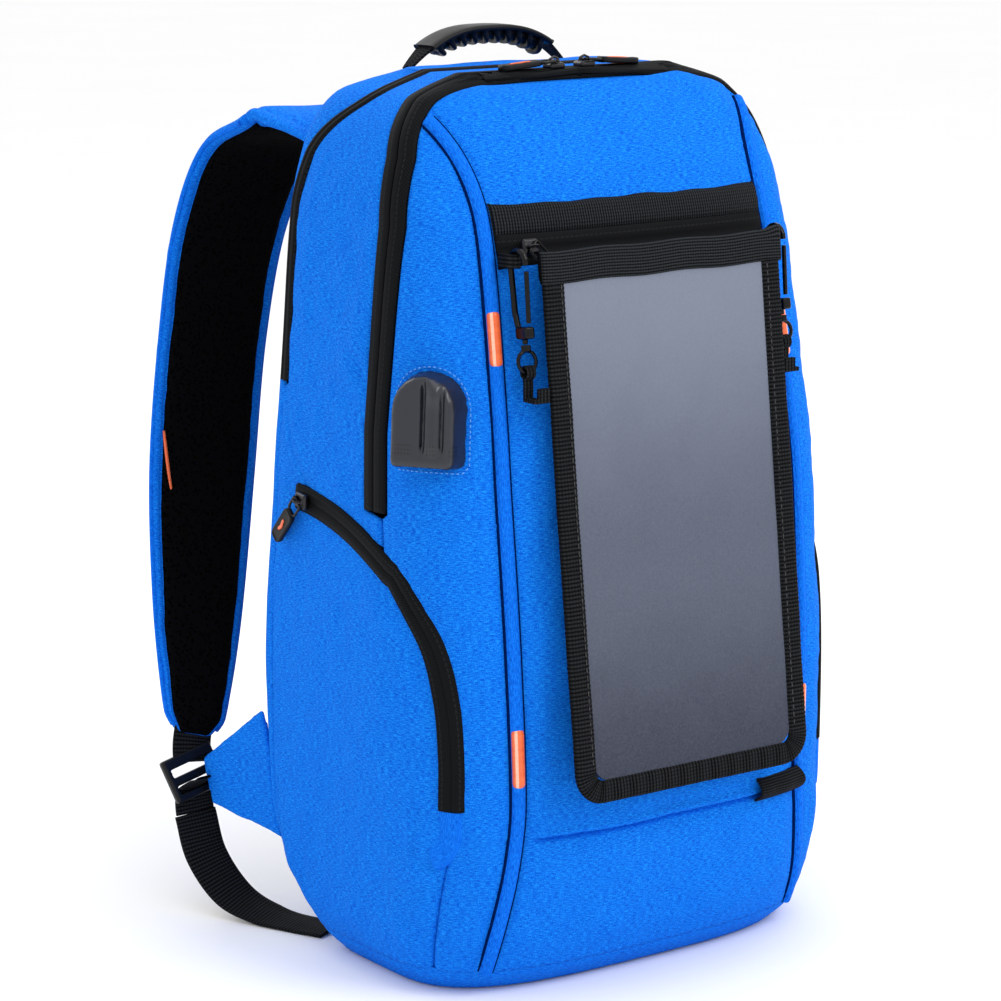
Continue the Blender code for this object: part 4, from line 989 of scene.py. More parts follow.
def make_front():
    """The front fabric from the foot to the main zip, with rows packed closer about the low seam."""
    cols = 216
    bands = ((FOOT, 0.0795, 30), (0.0803, 0.0980, 44), (0.1000, 0.44, 126), (0.4415, 0.4764, 36))
    heights = np.concatenate([np.linspace(*band) for band in bands])
    rows = len(heights)
    base = np.zeros((rows, cols, 3))
    for i, z in enumerate(heights):
        half, front, _ = sizes_at(z)
        edge = max(float(front_edge(z)), -front * 0.985)
        start = math.asin(min(1.0, (abs(edge) / front) ** (FRONT_POWER / 2)))
        turn = np.linspace(start, math.pi - start, 900)
        x = -half * curved(np.cos(turn), 2 / FRONT_POWER)
        y = -front * np.sin(turn) ** (2 / FRONT_POWER)
        base[i] = even(xyz(x, y, z), cols)
    up = normals(base)
    z = base[..., 2]
    x = base[..., 0]
    rim = edge_count(rows, cols)
    lift = 0.0011 * (1 - np.exp(-rim / 5.0))
    gap = piping_distance(base)
    inside = np.clip(-gap / 0.012, 0, 1)
    over = z - SEAM_HEIGHT
    lip = 0.0016 * bell(over, 0.0022, 0.0028) * (z > SEAM_HEIGHT)
    lift += (gap < 0.006) * (lip - 0.0026 * bell(over, -0.0006, 0.0011))
    lift += 0.0024 * inside * bell(over, 0, 0.030) * (1 - bell(over, 0, 0.008))
    lift += crumple(base, 0.075, 0.0011, 3) * np.clip(rim / 12, 0, 1)
    lift += crumple(base * (1, 1, 2.2), 0.022, 0.00028, 5)
    lift *= 1 - 0.92 * np.exp(-((gap / 0.012) ** 4))
    lift -= 0.0014 * bell(np.abs(gap), 0.0042, 0.0014)
    under_band = bell(z, 0.402, 0.020) * (np.abs(x) < 0.095)
    lift = lift * (1 - 0.9 * under_band)
    at_hooks = np.exp(-(((np.abs(x) - 0.088) / 0.012) ** 2) - ((z - 0.372) / 0.018) ** 2)
    lift -= 0.0010 * at_hooks
    port = ((x + 0.1235) / 0.026) ** 2 + ((z - OUTLET_HEIGHT) / 0.032) ** 2
    lift = lift * (1 - 0.85 * np.exp(-(port**2)))
    lift = to_foot(lift, z)
    lift = np.where(rim < 2, -0.0016 + 0.0012 * rim, lift)
    lift = np.where(np.arange(rows)[:, None] > rows - 3, -0.0006, lift)
    panel = lined_panel("front_fabric", base, up, lift, 0.0024)
    apply(panel)
    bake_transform(panel)
    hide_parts("lower_front", "cover_fold", "front_cover")


def front_line(points, count):
    """A line on the front through (x, z) points, evenly spaced."""
    flat = even(np.asarray(points, float), count)
    return xyz(flat[:, 0], front_y(flat[:, 0], flat[:, 1]), flat[:, 1])


PIPING_TOP = 0.460
PIPING_PROFILE = both_halves((
    (-0.0049, -0.0012),
    (-0.0044, 0.0003),
    (-0.0035, 0.0001),
    (-0.0031, 0.0014),
    (-0.0018, 0.0024),
    (0, 0.0027),
))
SLEEVE_PROFILE = (
    (-0.0034, 0.0002),
    (-0.0034, 0.0018),
    (-0.0022, 0.0029),
    (-0.0006, 0.0033),
    (0.0004, 0.0033),
    (0.0022, 0.0029),
    (0.0034, 0.0018),
    (0.0034, 0.0002),
)
# Each reflective sleeve's name, side, and lowest and highest points.
SLEEVES = (
    ("left_high", -1, 0.337, 0.365),
    ("left_low", -1, 0.118, 0.150),
    ("right_low", 1, 0.114, 0.145),
    ("right_high", 1, 0.325, 0.352),
)


def finish_columns(obj, profile, finish, columns):
    """Gives a strip a second finish on the faces between some of its profile's points."""
    obj.data.materials.append(FINISH[finish])
    places = np.arange(len(obj.data.polygons)) % (len(profile) - 1)
    obj.data.polygons.foreach_set("material_index", np.isin(places, columns).astype(np.int32))


def make_piping():
    """The cord down each side of the front, sunk in the front fabric with painted shade along both its
    edges, and the reflective sleeves on it, each with a painted highlight line.
    """
    z = np.linspace(FOOT, PIPING_TOP, 260)
    smooth = line_at(PIPING, z)
    for _ in range(60):
        smooth[1:-1] = 0.5 * smooth[1:-1] + 0.25 * (smooth[2:] + smooth[:-2])
    for side, name in SIDES:
        centre = front_line(np.stack([side * smooth, z], axis=1), 300)
        body = strip(f"piping_{name}", centre, "blue_trim", PIPING_PROFILE)
        # Dark blue on the profile's outer faces: painted shade in the crease on each side of the cord.
        finish_columns(body, PIPING_PROFILE, "groove_shade", (0, 1, 8, 9))
        rounded(body)
        apply(body)
        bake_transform(body)
        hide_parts(f"piping_{name}_upper", f"piping_{name}_lower")
    count = 30
    ends = np.clip(np.minimum(np.arange(count), np.arange(count)[::-1]) / 1.2, 0.5, 1) ** 0.5
    for name, side, low, high in SLEEVES:
        heights = np.linspace(low, high, count)
        centre = front_line(np.stack([side * np.interp(heights, z, smooth), heights], axis=1), count)
        piece = strip(f"reflector_sleeve_{name}", centre, "orange", SLEEVE_PROFILE)
        points = points_of(piece).reshape(count, len(SLEEVE_PROFILE), 3)
        set_points(piece, centre[:, None] + (points - centre[:, None]) * ends[:, None, None])
        # One column of each sleeve is pale orange: a painted highlight along the side facing the light,
        # which is why it switches with the side.
        finish_columns(piece, SLEEVE_PROFILE, "highlight_line", (4 if side < 0 else 2,))
        rounded(piece)
        apply(piece)
        if low > 0.3:
            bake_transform(piece)
        else:
            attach(piece, "bag")


def arch_band(name, line, profile, low):
    """A tape over the arch along a line of depths. profile holds (depth from the line, height) pairs."""
    offsets, heights = np.array(profile).T
    places = [p for p in arch_places(420) if p[1] >= low]
    base = np.stack([arch_row(p, float(line_at(line, p[1])) + offsets) for p in places])
    up = normals(base)
    flat = np.array([p[2] is not None for p in places])
    up[flat] = 0.5 * up[flat] + (0, 0, 0.5)
    up = unit(up)
    points = base + up * heights[None, :, None]
    return grid(name, points, ("zip",), outward=up, uv=tape_uv(travelled(base[:, 0]), offsets))


MAIN_ZIP_PROFILE = (
    (-0.0098, -0.0010),
    (-0.0092, 0.0006),
    (-0.0080, 0.0013),
    (-0.0040, 0.0015),
    (-0.0012, 0.0015),
    (-0.0004, 0.0011),
    (-0.0002, 0.0004),
)
LAPTOP_ZIP_PROFILE = both_halves((
    (-0.0050, -0.0010),
    (-0.0046, 0.0008),
    (-0.0036, 0.0014),
    (-0.0008, 0.0016),
    (0, 0.0009),
))
SIDE_ZIP_PROFILE = both_halves((
    (-0.0074, -0.0008),
    (-0.0071, 0.0014),
    (-0.0060, 0.0022),
    (-0.0030, 0.0024),
    (-0.0006, 0.0023),
    (0, 0.0016),
))
POCKET_END_PROFILE = both_halves(((-0.0070, -0.0008), (-0.0064, 0.0014), (-0.003, 0.0020)))


def make_main_zip():
    """The main zip's two tapes, meeting at the teeth: the front one goes with the cover."""
    front = arch_band("zip_main_front", MAIN_ZIP, MAIN_ZIP_PROFILE, MAIN_ZIP_FOOT)
    thicken(front, 0.0012)
    apply(front)
    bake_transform(front)
    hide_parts("cover_zip_tape")
    rear = arch_band("zip_main_rear", MAIN_ZIP, mirrored(MAIN_ZIP_PROFILE), MAIN_ZIP_FOOT)
    thicken(rear, 0.0012)
    place_piece(rear, "bag", "main_zip_tape")


def side_zip_curve():
    """(y, z) of the side pocket's zip: the arc that its slider runs on, then on down the side."""
    centre, radius = (0.070, 0.060), 0.195
    turn = np.radians(np.linspace(93, 123, 12))
    arc = np.stack([centre[0] + radius * np.cos(turn), centre[1] + radius * np.sin(turn)], axis=1)
    return curve_through([*arc, (-0.056, 0.196), (-0.064, 0.166), (-0.066, 0.135), (-0.0655, 0.106)], 90)


def near_from_side(y, z, line, width):
    """near() for points and a (y, z) line, both seen straight from the side."""
    line = np.asarray(line, float)
    return near(xyz(0, y, z), xyz(0, *line.T), width)


def on_side(side, line):
    """A (y, z) line set on the bag's side."""
    line = np.asarray(line, float)
    return xyz(side * side_x(*line.T), *line.T)


POCKET_SEAM = (
    (-0.066, 0.135), (-0.066, 0.100), (-0.063, 0.079),
    (-0.052, 0.0745), (-0.046, 0.085), (-0.050, 0.107),
)
# Seams and creases pressed into the side fabric: (y, z) points, how many it's drawn with, width and depth.
SIDE_SEAMS = (
    (POCKET_SEAM, 60, 0.0012, 0.0011),
    (((-0.058, 0.076), (-0.054, 0.045), (-0.046, 0.014)), 60, 0.0012, 0.0012),
    (((0.079, 0.316), (0.066, 0.283), (0.052, 0.262), (0.040, 0.256)), 60, 0.0013, 0.0011),
    (((0.040, 0.250), (0.066, 0.255), (0.087, 0.258)), 40, 0.0011, 0.0008),
    (((-0.020, 0.300), (0.010, 0.340), (0.050, 0.385)), 60, 0.004, 0.0009),
    (((0.000, 0.330), (0.010, 0.338), (0.050, 0.352)), 60, 0.004, 0.0009),
    (((0.020, 0.360), (0.010, 0.392), (0.050, 0.403)), 60, 0.004, 0.0009),
)
POCKET_END = ((-0.0655, 0.1055), (-0.0645, 0.090), (-0.060, 0.0815), (-0.0560, 0.0800))


def make_side_panels():
    """The side fabric and the strip of top fabric between the two zips, in one piece."""
    places = arch_places(440)
    cols = 96
    base = []
    for place in places:
        z = place[1]
        start = line_at(FRONT_SEAM, z) if z < MAIN_ZIP_FOOT else line_at(MAIN_ZIP, z) + ZIP_HALF
        gap = 0.0042 if z >= LAPTOP_ZIP_FOOT else -0.0004
        end = min(line_at(LAPTOP_ZIP, z) - gap, sizes_at(z)[2] * 0.97)
        base.append(arch_row(place, np.linspace(start, end, cols)))
    base = np.stack(base)
    up = normals(base)
    up[np.array([p[2] is not None for p in places])] = (0, 0, 1)
    y, z = base[..., 1], base[..., 2]
    rim = edge_count(len(base), cols)
    narrow = np.linalg.norm(base[:, -1] - base[:, 0], axis=1)[:, None]
    side_part = z < 0.44
    lift = 0.0012 * (1 - np.exp(-rim / 6.0)) * np.clip(narrow / 0.05, 0.2, 1)
    sag = crumple(base, 0.085, 0.0021, 11) * np.clip(rim / 14, 0, 1)
    lift += sag * side_part * np.clip((0.45 - z) / 0.06, 0, 1)
    lift += crumple(base * (1, 1.6, 1), 0.026, 0.00050, 12) * side_part
    lift += 0.0022 * np.exp(-(((z - 0.170) / 0.070) ** 2) - ((y - 0.010) / 0.050) ** 2)
    zip_line = side_zip_curve()
    lift *= 1 - 0.75 * near_from_side(y, z, zip_line, 0.011)
    lift -= 0.0006 * near_from_side(y, z, zip_line, 0.0085)
    for line, count, width, depth in SIDE_SEAMS:
        lift += -depth * near_from_side(y, z, curve_through(line, count), width) * side_part
    port = np.where(base[..., 0] < 0, ((y + 0.050) / 0.030) ** 2 + ((z - OUTLET_HEIGHT) / 0.034) ** 2, 9)
    lift = lift * (1 - 0.9 * np.exp(-(port**2)))
    lift = to_foot(lift, z)
    lift = np.where(rim < 2, -0.0016 + 0.0012 * rim, lift)
    piece = lined_panel("side_fabric", base, up, lift, 0.0024)
    place_piece(piece, "bag", "rear_shell")

    for side, name in SIDES:
        tape = strip(f"side_zip_{name}", on_side(side, zip_line), "zip", SIDE_ZIP_PROFILE)
        thicken(tape, 0.0010)
        place_piece(tape, "bag", f"side_zip_tape_{name}")
        line = on_side(side, curve_through(POCKET_END, 40))
        patch = strip(f"pocket_end_patch_{name}", line, "blue_trim", POCKET_END_PROFILE)
        rounded(patch)
        place_piece(patch, "bag", None)


def make_laptop_zip():
    tape = arch_band("zip_laptop", LAPTOP_ZIP, LAPTOP_ZIP_PROFILE, LAPTOP_ZIP_FOOT)
    thicken(tape, 0.0010)
    place_piece(tape, "bag", "laptop_zip_tape")


def make_back():
    """The blue return behind the laptop zip and the back wall."""
    rows, cols = 200, 150
    base = np.zeros((rows, cols, 3))
    for i, z in enumerate(np.linspace(FOOT, HEIGHT - 0.0005, rows)):
        half, _, rear = sizes_at(z)
        start_y = min(line_at(LAPTOP_ZIP, z) + (0.0040 if z >= LAPTOP_ZIP_FOOT else 0.0004), rear * 0.97)
        start = math.asin(min(1.0, (start_y / rear) ** (REAR_POWER / 2)))
        turn = np.linspace(start, math.pi - start, 1400)
        x = -half * curved(np.cos(turn), 2 / REAR_POWER)
        y = rear * np.abs(np.sin(turn)) ** (2 / REAR_POWER)
        base[i] = even(xyz(x, y, z), cols)
    crown = []
    for share in np.linspace(0.06, 1.0, 16):
        row = base[-1].copy()
        row[:, 1] = 0.0342 + (row[:, 1] - 0.0342) * (1 - share)
        row[:, 2] = HEIGHT
        crown.append(row)
    base = np.concatenate([base, crown])
    up = normals(base)
    x, y, z = base[..., 0], base[..., 1], base[..., 2]
    rim = edge_count(len(base), cols)
    lift = 0.0010 * (1 - np.exp(-rim / 4.0)) + crumple(base, 0.09, 0.0007, 21) * np.clip(rim / 10, 0, 1)
    lift = to_foot(lift, z)
    lift *= 1 - 0.8 * near_from_side(y, z, side_zip_curve(), 0.011) * (np.abs(x) > 0.10)
    lift = np.where(rim < 2, -0.0014 + 0.0012 * rim, lift)
    wall = lined_panel("back_fabric", base, up, lift, 0.0022)
    place_piece(wall, "bag", "back_panel")


def make_back_pad():
    """The mesh pad on the back wall, with a channel down its middle and three across it."""
    rows, cols = 150, 84
    low, high = 0.040, 0.430
    z = np.linspace(low, high, rows)[:, None] * np.ones((1, cols))
    bag_half, _, rear = sizes_at(z)
    half = bag_half - 0.034
    x = np.linspace(-1, 1, cols)[None, :] * half
    y = rear * np.clip(1 - (np.abs(x) / bag_half) ** REAR_POWER, 0, 1) ** (1 / REAR_POWER)
    base = xyz(x, y, z)
    up = normals(base)
    edge = np.minimum.reduce([z - low, high - z, half - np.abs(x)]) / 0.018
    edge_share = np.clip(edge, 0, 1)
    channel = np.exp(-((x / 0.011) ** 2))
    for centre in (0.135, 0.235, 0.335):
        channel = np.maximum(channel, bell(z, centre + 0.16 * np.abs(x), 0.0065))
    thick = 0.0075 * edge_share**0.45 * (1 - 0.72 * channel) + 0.0008 * edge_share
    thick += crumple(base, 0.05, 0.0005, 31) * edge_share
    pad = grid("back_pad", base + up * (thick + 0.0006)[..., None], ("mesh",), outward=up)
    thicken(pad, 0.0030)
    place_piece(pad, "bag", None)


def make_base():
    """The blue turn of the fabric at the foot, closed by a webbing-covered base."""
    rows, cols = 26, 220
    turned = 0.42
    angle = np.linspace(0, 2 * math.pi, 4001)
    cosine, sine = np.cos(angle), np.sin(angle)
    power = np.where(sine < 0, FRONT_POWER, REAR_POWER)
    rings = []
    for k in range(rows):
        share = k / (rows - 1)
        if share < turned:
            height, scale = 0.0150 * (1 - share / turned), 1.0
        else:
            height, scale = 0.0, 1 - (share - turned) / 0.58 * 0.97
        half, front, rear = sizes_at(height)
        depth = np.where(sine < 0, front, rear)
        x, y = half * curved(cosine, 2 / power), depth * curved(sine, 2 / power)
        ring = even(xyz(x, y, height), cols + 1)[:-1]
        ring[:, :2] *= scale
        ring[:, 2] += 0.0004 + (0.0006 * math.sin(min(1, (1 - scale) * 9)) if scale < 1 else 0)
        rings.append(ring)
    rings = np.array(rings)
    away = rings - rings.mean((0, 1)) + (0, 0, -0.02)

    def slots(r, c):
        return np.repeat((np.arange(r) > 10).astype(int)[:, None], c, axis=1)

    base = grid("base_fabric", rings, ("blue", "webbing"), wrap=True, outward=away, slot_of=slots)
    place_piece(base, "bag", "bottom_panel")


BAND_HALF = 0.0872
BAND_LIFTS = (0.0016, 0.0022, 0.0026, 0.0027, 0.0026, 0.0027, 0.0026, 0.0019, -0.0006)
POCKET_ZIP_LIFTS = (-0.0006, 0.0014, 0.0018, 0.0019, 0.0017, 0.0011, 0.0017, 0.0019, 0.0019, 0.0018, 0.0015)


def front_patch(name, low, high, lifts, finish, wavy=0.0):
    """A level tape across the front. lifts are its heights over the bag, from its lower edge up."""
    count = 200
    x = np.linspace(-BAND_HALF, BAND_HALF, count)
    shares = np.linspace(0, 1, len(lifts))
    wave = np.sin(x * 190)[:, None] + np.sin(x * 83 + 1)[:, None]
    z = low + (high - low) * shares[None, :] + wavy * wave * np.clip(shares * 2 - 1, 0, 1)[None, :]
    x = x[:, None] * np.ones_like(z)
    base = xyz(x, front_y(x, z), z)
    up = normals(base)
    ends = np.clip(np.minimum(np.arange(count), np.arange(count)[::-1]) / 2.0, 0, 1)[:, None]
    points = base + up * (np.asarray(lifts)[None, :] * (0.25 + 0.75 * ends))[..., None]
    return grid(name, points, (finish,), outward=up, uv=np.stack([x, z - 0.5 * (low + high)], axis=-1))


def make_front_bands():
    """The webbing band and the zip across the front, and the two webbing bridges that the hooks hang on."""
    band = front_patch("front_webbing_band", 0.4026, 0.4186, BAND_LIFTS, "coarse", wavy=0.00035)
    thicken(band, 0.0014)
    place_piece(band, "cover", "pocket_band")
    tape = front_patch("zip_pocket", 0.3856, 0.4034, POCKET_ZIP_LIFTS, "zip")
    thicken(tape, 0.0010)
    place_piece(tape, "cover", "pocket_zip_tape")

    bridge_x, bridge_y, bridge_z = 0.0845, -0.0735, 0.391
    shares = np.linspace(-1, 1, 41)
    z = np.linspace(bridge_z - TAB_HEIGHT / 2, bridge_z + TAB_HEIGHT / 2, 7)
    for side, name in SIDES:
        x = side * bridge_x + shares * TAB_HALF_LENGTH
        sewn_y = front_y(x, np.full_like(x, bridge_z)) - 0.0032
        y = sewn_y + (bridge_y - sewn_y) * np.cos(shares * math.pi / 2) ** 0.4
        points = xyz(x[:, None], y[:, None], z[None, :])
        outward = np.broadcast_to((0.0, -1.0, 0.0), points.shape)
        uv = np.stack([points[..., 2], points[..., 0]], axis=-1)
        points = points - (0, TAB_THICKNESS / 2, 0)
        tab = grid(f"hook_bridge_{name}", points, ("webbing",), outward=outward, uv=uv)
        thicken(tab, TAB_THICKNESS)
        place_piece(tab, "tabs", f"hook_tab_{name}")


# ---------------------------------------------------------------------------------------- the solar panel

def in_place(points, matrix):
    """Points from a part's own frame in the bag's."""
    turn = np.array(matrix)
    return np.asarray(points, float) @ turn[:3, :3].T + turn[:3, 3]


# Sections across the binding and the hem. Each point is how far inward or up it is, then its depth.
BINDING_SECTION = (
    (-0.0002, 0.0),
    (0.0004, -0.0016),
    (0.0016, -0.0025),
    (0.0040, -0.0027),
    (0.0072, -0.0027),
    (0.0102, -0.0025),
    (0.0118, -0.0019),
    (0.0121, -0.0010),
    (0.0114, 0.0006),
    (0.0100, 0.0020),
    (0.0050, 0.0024),
    (0.0012, 0.0022),
    (0.0002, 0.0012),
)
HEM_SECTION = (
    (0.0012, 0.0),
    (0.0008, -0.0020),
    (-0.0006, -0.0031),
    (-0.0040, -0.0033),
    (-0.0080, -0.0032),
    (-0.0126, -0.0031),
    (-0.0148, -0.0026),
    (-0.0155, -0.0012),
    (-0.0146, 0.0008),
    (-0.0120, 0.0028),
    (-0.0060, 0.0030),
    (0.0000, 0.0026),
    (0.0010, 0.0014),
)


def panel_sleeve(name, local, finish, uv, node):
    """A closed band in the panel's own frame, set in its place."""
    band = grid(name, in_place(local, PANEL_PLACE), (finish,), wrap=True, uv=uv)
    place_piece(band, "panel", node)


def make_panel_trim():
    """Ribbed binding round the two sides and the foot, and a coarse hem over the top."""
    radius, half, top = 0.0165, PANEL_HALF, -0.012
    low = -PANEL_LENGTH + radius
    turn = np.linspace(0.15, math.pi / 2, 8)
    left = [(-half + radius - radius * math.cos(t), low - radius * math.sin(t)) for t in turn]
    turn = np.linspace(0, math.pi / 2 - 0.15, 8)
    right = [(half - radius + radius * math.sin(t), low - radius * math.cos(t)) for t in turn]
    path = even([(-half, top), (-half, low), *left, *right, (half, low), (half, top)], 900)
    tangent = frames_along(path)
    inward = np.stack([-tangent[:, 1], tangent[:, 0]], axis=1)
    for _ in range(6):
        inward[1:-1] = inward[1:-1] * 0.5 + 0.25 * (inward[2:] + inward[:-2])
    offsets, depths = np.array(BINDING_SECTION).T
    along = travelled(path)
    rib = 0.00026 * np.sin(along * 2 * math.pi / 0.0026)
    flat = path[:, None] + inward[:, None] * offsets[None, :, None]
    wobble = crumple(xyz(path[:, 0], path[:, 1], 0), 0.06, 0.0004, 41)
    depth = depths[None, :] + rib[:, None] * np.sign(depths)[None, :] + wobble[:, None]
    local = xyz(flat[..., 0], depth, flat[..., 1])
    uv = tape_uv(along, np.append(offsets, offsets[0]))
    panel_sleeve("panel_side_binding", local, "webbing", uv, "panel_binding")

    left_end, right_end = -half - 0.0012, half + 0.0018
    x = np.linspace(left_end, right_end, 240)
    heights, depths = np.array(HEM_SECTION).T
    ends = np.clip(np.minimum(x - left_end, right_end - x) / 0.0016, 0.25, 1) ** 0.5
    ear = 0.0022 * bell(x, half, 0.006)
    wavy = 0.0004 * np.sin(x * 120)
    height = heights[None, :] + wavy[:, None] + ear[:, None] * (heights > -0.001)[None, :]
    local = xyz(x[:, None], depths[None, :] * ends[:, None], height)
    uv = tape_uv(x, np.append(heights, heights[0]))[..., ::-1]
    panel_sleeve("panel_top_hem", local, "coarse", uv, None)

    back = copy_of("panel_backing", "panel_back_sheet", "plain", bevel=0.0004)
    place_piece(back, "panel", "panel_backing")
    for side, name in SIDES:
        x, y = side * (half - 0.0095), -0.0029
        line = in_place([(x, y, -0.016), (x, y, -PANEL_LENGTH + 0.02)], PANEL_PLACE)
        seam = stitches(f"panel_stitches_{name}", line, np.tile((0.0, -1.0, 0.0), (2, 1)), "dark_thread")
        place_piece(seam, "panel", None)


def drawn(node, name, finish, voxel, smooth, body):
    """A CAD node's own surface, remeshed and smoothed, in its node's place."""
    place_piece(copy_of(node, name, finish, voxel, smooth), body, node)


def make_hardware():
    """Hooks, sliders, buckles and the parts inside, drawn from the CAD model's own surfaces."""
    for side in ("left", "right"):
        drawn(f"snap_hook_{side}", f"hook_{side}_bow", "gloss", 0.00042, 3, f"hook_{side}")
        drawn(f"hook_gate_{side}", f"hook_{side}_gate", "gloss", 0.00036, 2, f"gate_{side}")
        drawn(f"hook_eye_{side}", f"hook_{side}_eye", "gloss", 0.00036, 2, "panel")
        tab = copy_of(f"panel_tab_{side}", f"panel_edge_tab_{side}", "webbing", bevel=0.0003)
        place_piece(box_uv(tab), "panel", f"panel_tab_{side}")
        lock = f"ladder_lock_{side}"
        drawn(lock, f"buckle_{side}", "plastic", 0.00055, 3, f"lock_{side}")
        for kind in ("main", "side"):
            node = f"{kind}_slider_{side}"
            drawn(node, f"zip_slider_{kind}_{side}", "metal", 0.00036, 2, node)
    drawn("pocket_slider", "zip_slider_pocket", "metal", 0.00036, 2, "pocket_slider")
    plain = {
        "charge_regulator": "plastic",
        "usb_socket": "steel",
        "usb_backing_plate": "plastic",
        "base_board": "board",
        "frame_sheet": "board",
        "solar_laminate": "film",
    }
    for node, finish in plain.items():
        obj = frame["nodes"][node]
        obj.data.materials.clear()
        obj.data.materials.append(FINISH[finish])
    inside = (("laptop_divider", "lining", "black_fabric"), ("power_bank_pocket", "mesh", "black_mesh"))
    for node, finish, slot in inside:
        piece = copy_of(node, f"{node}_cloth", finish, bevel=0.0006)
        place_piece(box_uv(piece), "bag", node)


# Each pull's body, the end of its slider's bridge, and the ways that run along it and across it.
PULLS = {
    "main_left": ("main_pull_left", (-0.010, -0.003, 0.4852), (-0.9976, 0, -0.0698), (0, -1, 0)),
    "main_right": ("main_pull_right", (0.010, -0.003, 0.4852), (0.9976, 0, -0.0698), (0, 1, 0)),
    "pocket": (
        "pocket_pull", (-0.07154, -0.06893, 0.3977), (0.6428, -0.2085, -0.7371), (0.766, 0.1749, 0.6185)
    ),
    "side_left": (
        "side_pull_left", (-0.14312, 0.04962, 0.25404), (0.0349, 0.7189, -0.6942), (0, -0.6947, -0.7193)
    ),
    "side_right": (
        "side_pull_right", (0.14312, 0.04962, 0.25404), (-0.0349, 0.7189, -0.6942), (0, 0.6947, -0.7193)
    ),
}
PULL_START = 0.0095
PULL_LENGTH = 0.026
PULL_HALF = 0.00475
PULL_HALF_THICKNESS = 0.0017
# One half of the wire loop, from its open end to where it passes through the pull.
LOOP_HALF = ((0.0002, 0.0036), (0.0040, 0.0037), (0.0080, 0.0035), (0.0100, 0.0024))


def pull_ring(s):
    """The section of a pull's rubber tab at a distance along it."""
    inner = min(s - PULL_START, PULL_START + PULL_LENGTH - s)
    width = PULL_HALF
    if inner < PULL_HALF:
        width = PULL_HALF * math.sqrt(max(0.0, 1 - max(0.0, 1 - inner / PULL_HALF) ** 2))
    width = max(width, 0.0004)
    height = PULL_HALF_THICKNESS * min(1.0, (inner / 0.0012) ** 0.5)
    face = height - (0.0005 if inner > 0.0022 else 0.0)
    rim = max(width - 0.0013, 0.0002)
    shoulder, rise, inset = width * 0.96, height * 0.7, rim * 0.86
    half = [(width, 0.0), (shoulder, rise), (width * 0.80, height), (inset, face), (0.0, face)]
    half += [(-inset, face), (-width * 0.80, height), (-shoulder, rise)]
    return [(s, a, b) for a, b in half] + [(s, -a, -b) for a, b in half]


def make_pulls():
    """Rubber pulls with a raised rim, a sunk face with a short orange bar, and a wire loop."""
    stations = PULL_START + PULL_LENGTH * (0.5 - 0.5 * np.cos(np.linspace(0.02, math.pi - 0.02, 48)))
    local = np.array([pull_ring(s) for s in stations])
    loop = [(a, -b, 0) for a, b in LOOP_HALF] + [(0.0108, 0, 0)]
    loop += [(a, b, 0) for a, b in reversed(LOOP_HALF)]
    loop += [(0.0, 0.0018, 0), (0, 0, 0), (0.0, -0.0018, 0), loop[0]]
    loop = curve_through(loop, 70)
    taper = np.sin(np.linspace(0.25, math.pi - 0.25, 16)) ** 0.35
    for name, (body, place, along, across) in PULLS.items():
        up = np.cross(np.array(along, float), np.array(across, float))
        turn = np.stack([along, across, up], axis=1)

        def world(points):
            return np.asarray(points, float) @ turn.T + np.array(place)

        tab = grid(f"pull_{name}", world(local), ("rubber",), wrap=True)
        rounded(tab)
        ring = tube(f"ring_{name}", world(loop), 0.00078, "gloss", up, caps=False)
        marks = []
        low, high = (0.0016, 0.0150) if name.startswith("main") else (0.0040, 0.0125)
        low, high = PULL_START + 0.0045 + low, PULL_START + 0.0045 + high
        for label, face in (("up", 1), ("down", -1)):
            height = face * (PULL_HALF_THICKNESS - 0.0003)
            line = world([(s, 0.0004 * math.sin(s * 900), height) for s in np.linspace(low, high, 16)])
            marks.append(tube(f"mark_{name}_{label}", line, 0.00115, "orange", up, flat=0.45, taper=taper))
        piece = join(f"pull_{name}", [tab, ring, *marks])
        place_piece(piece, body, body)


# ------------------------------------------------------------------------------ hood, loop, handle, straps


def make_hood():
    """The outlet's rubber hood, with two grooves and a ridge in its face, and the stitches round it."""
    hood = copy_of("usb_hood", "charging_hood", "hood", 0.0009, 4)
    turn = np.array(HOOD_PLACE)
    local = (points_of(hood) - turn[:3, 3]) @ turn[:3, :3]
    out = normals_of(hood) @ turn[:3, :3]
    x, z = local[:, 0], local[:, 2]
    face = np.clip(out[:, 1], 0, 1)
    height = np.clip((z + 0.020) / 0.006, 0, 1) * np.clip((0.021 - z) / 0.006, 0, 1)
    shift = -0.0030 * bell(x, -0.0010, 0.0012) * height
    shift += -0.0024 * bell(x, -0.0115, 0.0012) * height
    crest = 0.0014 * np.exp(-(((x + 0.0080) / 0.0034) ** 2) - ((z - 0.0120) / 0.0050) ** 2)
    shift += 0.0012 * bell(x, -0.0068, 0.0038) * height + crest
    local += np.array((0, 1.0, 0)) * (shift * face)[:, None]
    set_points(hood, local @ turn[:3, :3].T + turn[:3, 3])
    box_uv(hood, HOOD_PLACE)
    place_piece(hood, "bag", "usb_hood")

    half, low, high, corner = 0.0226, -0.0284, 0.0256, 0.004
    outline = [(-half, low + corner), (-half, high - half)]
    turn_over = np.linspace(0.1, math.pi - 0.1, 24)
    outline += [(-half * math.cos(t), high - half + half * math.sin(t)) for t in turn_over]
    outline += [(half, high - half), (half, low + corner), (half - corner, low)]
    outline += [(-half + corner, low), outline[0]]
    base = project(in_place([(a, 0.0, b) for a, b in even(outline, 200)], HOOD_PLACE))
    up = normals(base)
    row = stitches("hood_stitches", base + up * 0.0014, up, "thread", 0.0017, 0.0011, 0.00034)
    place_piece(row, "bag", None)


